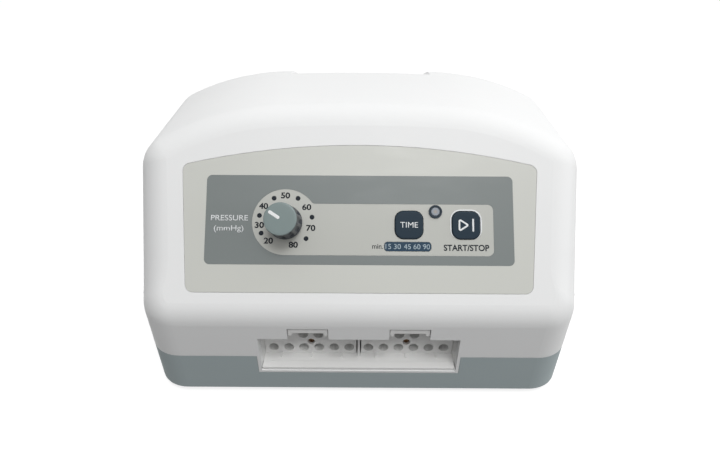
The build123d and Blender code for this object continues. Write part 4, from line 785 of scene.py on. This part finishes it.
def screwMesh(size):
    head, thick, shank, length = size["head"], size["thickness"], size["shank"], size["length"]
    profile = [(0, 0, -length), (shank, 0, -length), (shank, 0, 0), (head, 0, 0)]
    for degrees in range(0, 90, screwHead["domeStep"]):
        turn = math.radians(degrees)
        height = thick * (screwHead["brim"] + (1 - screwHead["brim"]) * math.sin(turn))
        profile.append((head * math.cos(turn) ** 0.5, 0, height))
    profile.append((0, 0, thick))
    blank = turnedMesh(profile, finishes[size["finish"]], screwHead["columns"])
    cutter = bpy.data.objects.new("cutter", crossCutter(size))
    bpy.context.scene.collection.objects.link(cutter)
    recess = {"operation": "DIFFERENCE", "object": cutter, "solver": "EXACT", "use_self": True}
    cut = plainMesh(blank, modifiers=[("BOOLEAN", recess)])
    bpy.data.objects.remove(cutter)
    return cut


def screwPlace(point, tilt, spin):
    # the head faces up before the tilt about X
    turned = Matrix.Rotation(math.radians(tilt), 4, "X") @ Matrix.Rotation(math.radians(spin), 4, "Z")
    return Matrix.Translation(point) @ turned


for kind, size in screwSizes.items():
    places = [screwPlace(point, size["tilt"], spin) for point, spin in size["seats"]]
    mesh = repeatedMesh(screwMesh(size), places, finishes[size["finish"]])
    finishPiece(kind + "Screws", mesh, finishes[size["finish"]], "case", [size["node"]])
print("stage: screws set")


# the camera, in millimetres and degrees; focal and shift are in dots of a render dotsWide wide
lens = {"back": 190.24, "height": 239.63, "down": 31.45, "roll": 0.35, "nearest": 10.0,
        "focal": 457.66, "shift": 0.5, "dotsWide": 720}
camera = bpy.data.cameras.new("camera")
camera.lens = lens["focal"] / lens["dotsWide"] * camera.sensor_width
camera.clip_start = lens["nearest"] * mm
camera.shift_x = lens["shift"] / lens["dotsWide"]
cameraObject = bpy.data.objects.new("camera", camera)
cameraObject.location = Vector((0, caseShape["front"] - lens["back"], lens["height"])) * mm
down = Matrix.Rotation(math.radians(90 - lens["down"]), 4, "X")
cameraObject.rotation_euler = (down @ Matrix.Rotation(math.radians(lens["roll"]), 4, "Z")).to_euler()
bpy.context.scene.collection.objects.link(cameraObject)
bpy.context.scene.camera = cameraObject

# light and floor, in metres
studio = {
    "skyLow": 0.11, "skyHigh": 0.93, "skyLean": (0.32, 0.0, 1.0), "seen": 1.0,
    "reach": 3.0, "drop": -0.0001, "floorGlow": 0.78, "floorPale": 0.35, "floorDark": 0.05,
    "target": (0, 0, 0.1),
    "lamps": {
        "keyLight": {"place": (0.17, -0.62, 1.22), "size": (0.5, 0.4), "share": 0.42},
        "sideLight": {"place": (1.10, -0.15, 0.36), "size": (0.9, 0.6), "share": 0.18},
    },
}


def seenRays(tree):
    # one for what the eye sees straight, in a gloss or through glass
    path = addNode(tree, "ShaderNodeLightPath").outputs
    seen = sums(tree, "MAXIMUM", path["Is Camera Ray"], path["Is Glossy Ray"])
    return sums(tree, "MAXIMUM", seen, path["Is Transmission Ray"])


def buildFloor():
    # bright to the eye, and dark where it would throw light back at the case
    reach, drop = studio["reach"], studio["drop"]
    corners = [(x * reach, y * reach, drop) for x, y in ((-1, -1), (1, -1), (1, 1), (-1, 1))]
    mesh = bpy.data.meshes.new("floor")
    mesh.from_pydata(corners, [], [(0, 1, 2, 3)])
    material, tree, shader = newMaterial("paleFloor")
    tree.nodes.remove(shader)
    tones = [(studio[key], studio[key], studio[key], 1) for key in ("floorDark", "floorPale")]
    dark, pale = [addNode(tree, "ShaderNodeBsdfDiffuse", {"Color": tone}).outputs[0] for tone in tones]
    glow = addNode(tree, "ShaderNodeEmission", {"Strength": studio["floorGlow"]}).outputs[0]
    lit = addNode(tree, "ShaderNodeAddShader", {0: glow, 1: pale}).outputs[0]
    mixed = addNode(tree, "ShaderNodeMixShader", {0: seenRays(tree), 1: dark, 2: lit}).outputs[0]
    tree.links.new(mixed, tree.nodes["Material Output"].inputs["Surface"])
    mesh.materials.append(material)
    floor = bpy.data.objects.new("floor", mesh)
    bpy.context.scene.collection.objects.link(floor)


def softLight(name, place, size, share):
    # share: what part of a white surface's full tone it gives at the target
    lamp = bpy.data.lights.new(name, "AREA")
    lamp.shape = "RECTANGLE"
    lamp.size, lamp.size_y = size
    away = Vector(studio["target"]) - Vector(place)
    lamp.energy = share * math.pi ** 2 * away.length_squared
    holder = bpy.data.objects.new(name, lamp)
    holder.location = place
    holder.rotation_euler = away.to_track_quat("-Z", "Y").to_euler()
    bpy.context.scene.collection.objects.link(holder)


def buildSky():
    # brighter overhead and to one side, and plain white to the eye
    world = bpy.data.worlds.new("studio")
    world.use_nodes = True
    bpy.context.scene.world = world
    tree = world.node_tree
    sky = tree.nodes["Background"]
    sky.inputs["Color"].default_value = (1, 1, 1, 1)
    way = addNode(tree, "ShaderNodeTexCoord").outputs["Generated"]
    rise = addNode(tree, "ShaderNodeVectorMath", {0: way, 1: studio["skyLean"]}, operation="DOT_PRODUCT")
    tone = spread(tree, rise.outputs["Value"], studio["skyLow"], studio["skyHigh"])
    strength = spread(tree, seenRays(tree), tone, studio["seen"])
    tree.links.new(strength, sky.inputs["Strength"])


buildFloor()
for name, lamp in studio["lamps"].items():
    softLight(name, **lamp)
buildSky()
bpy.context.scene.view_settings.view_transform = "Standard"
print("stage: camera and light set")
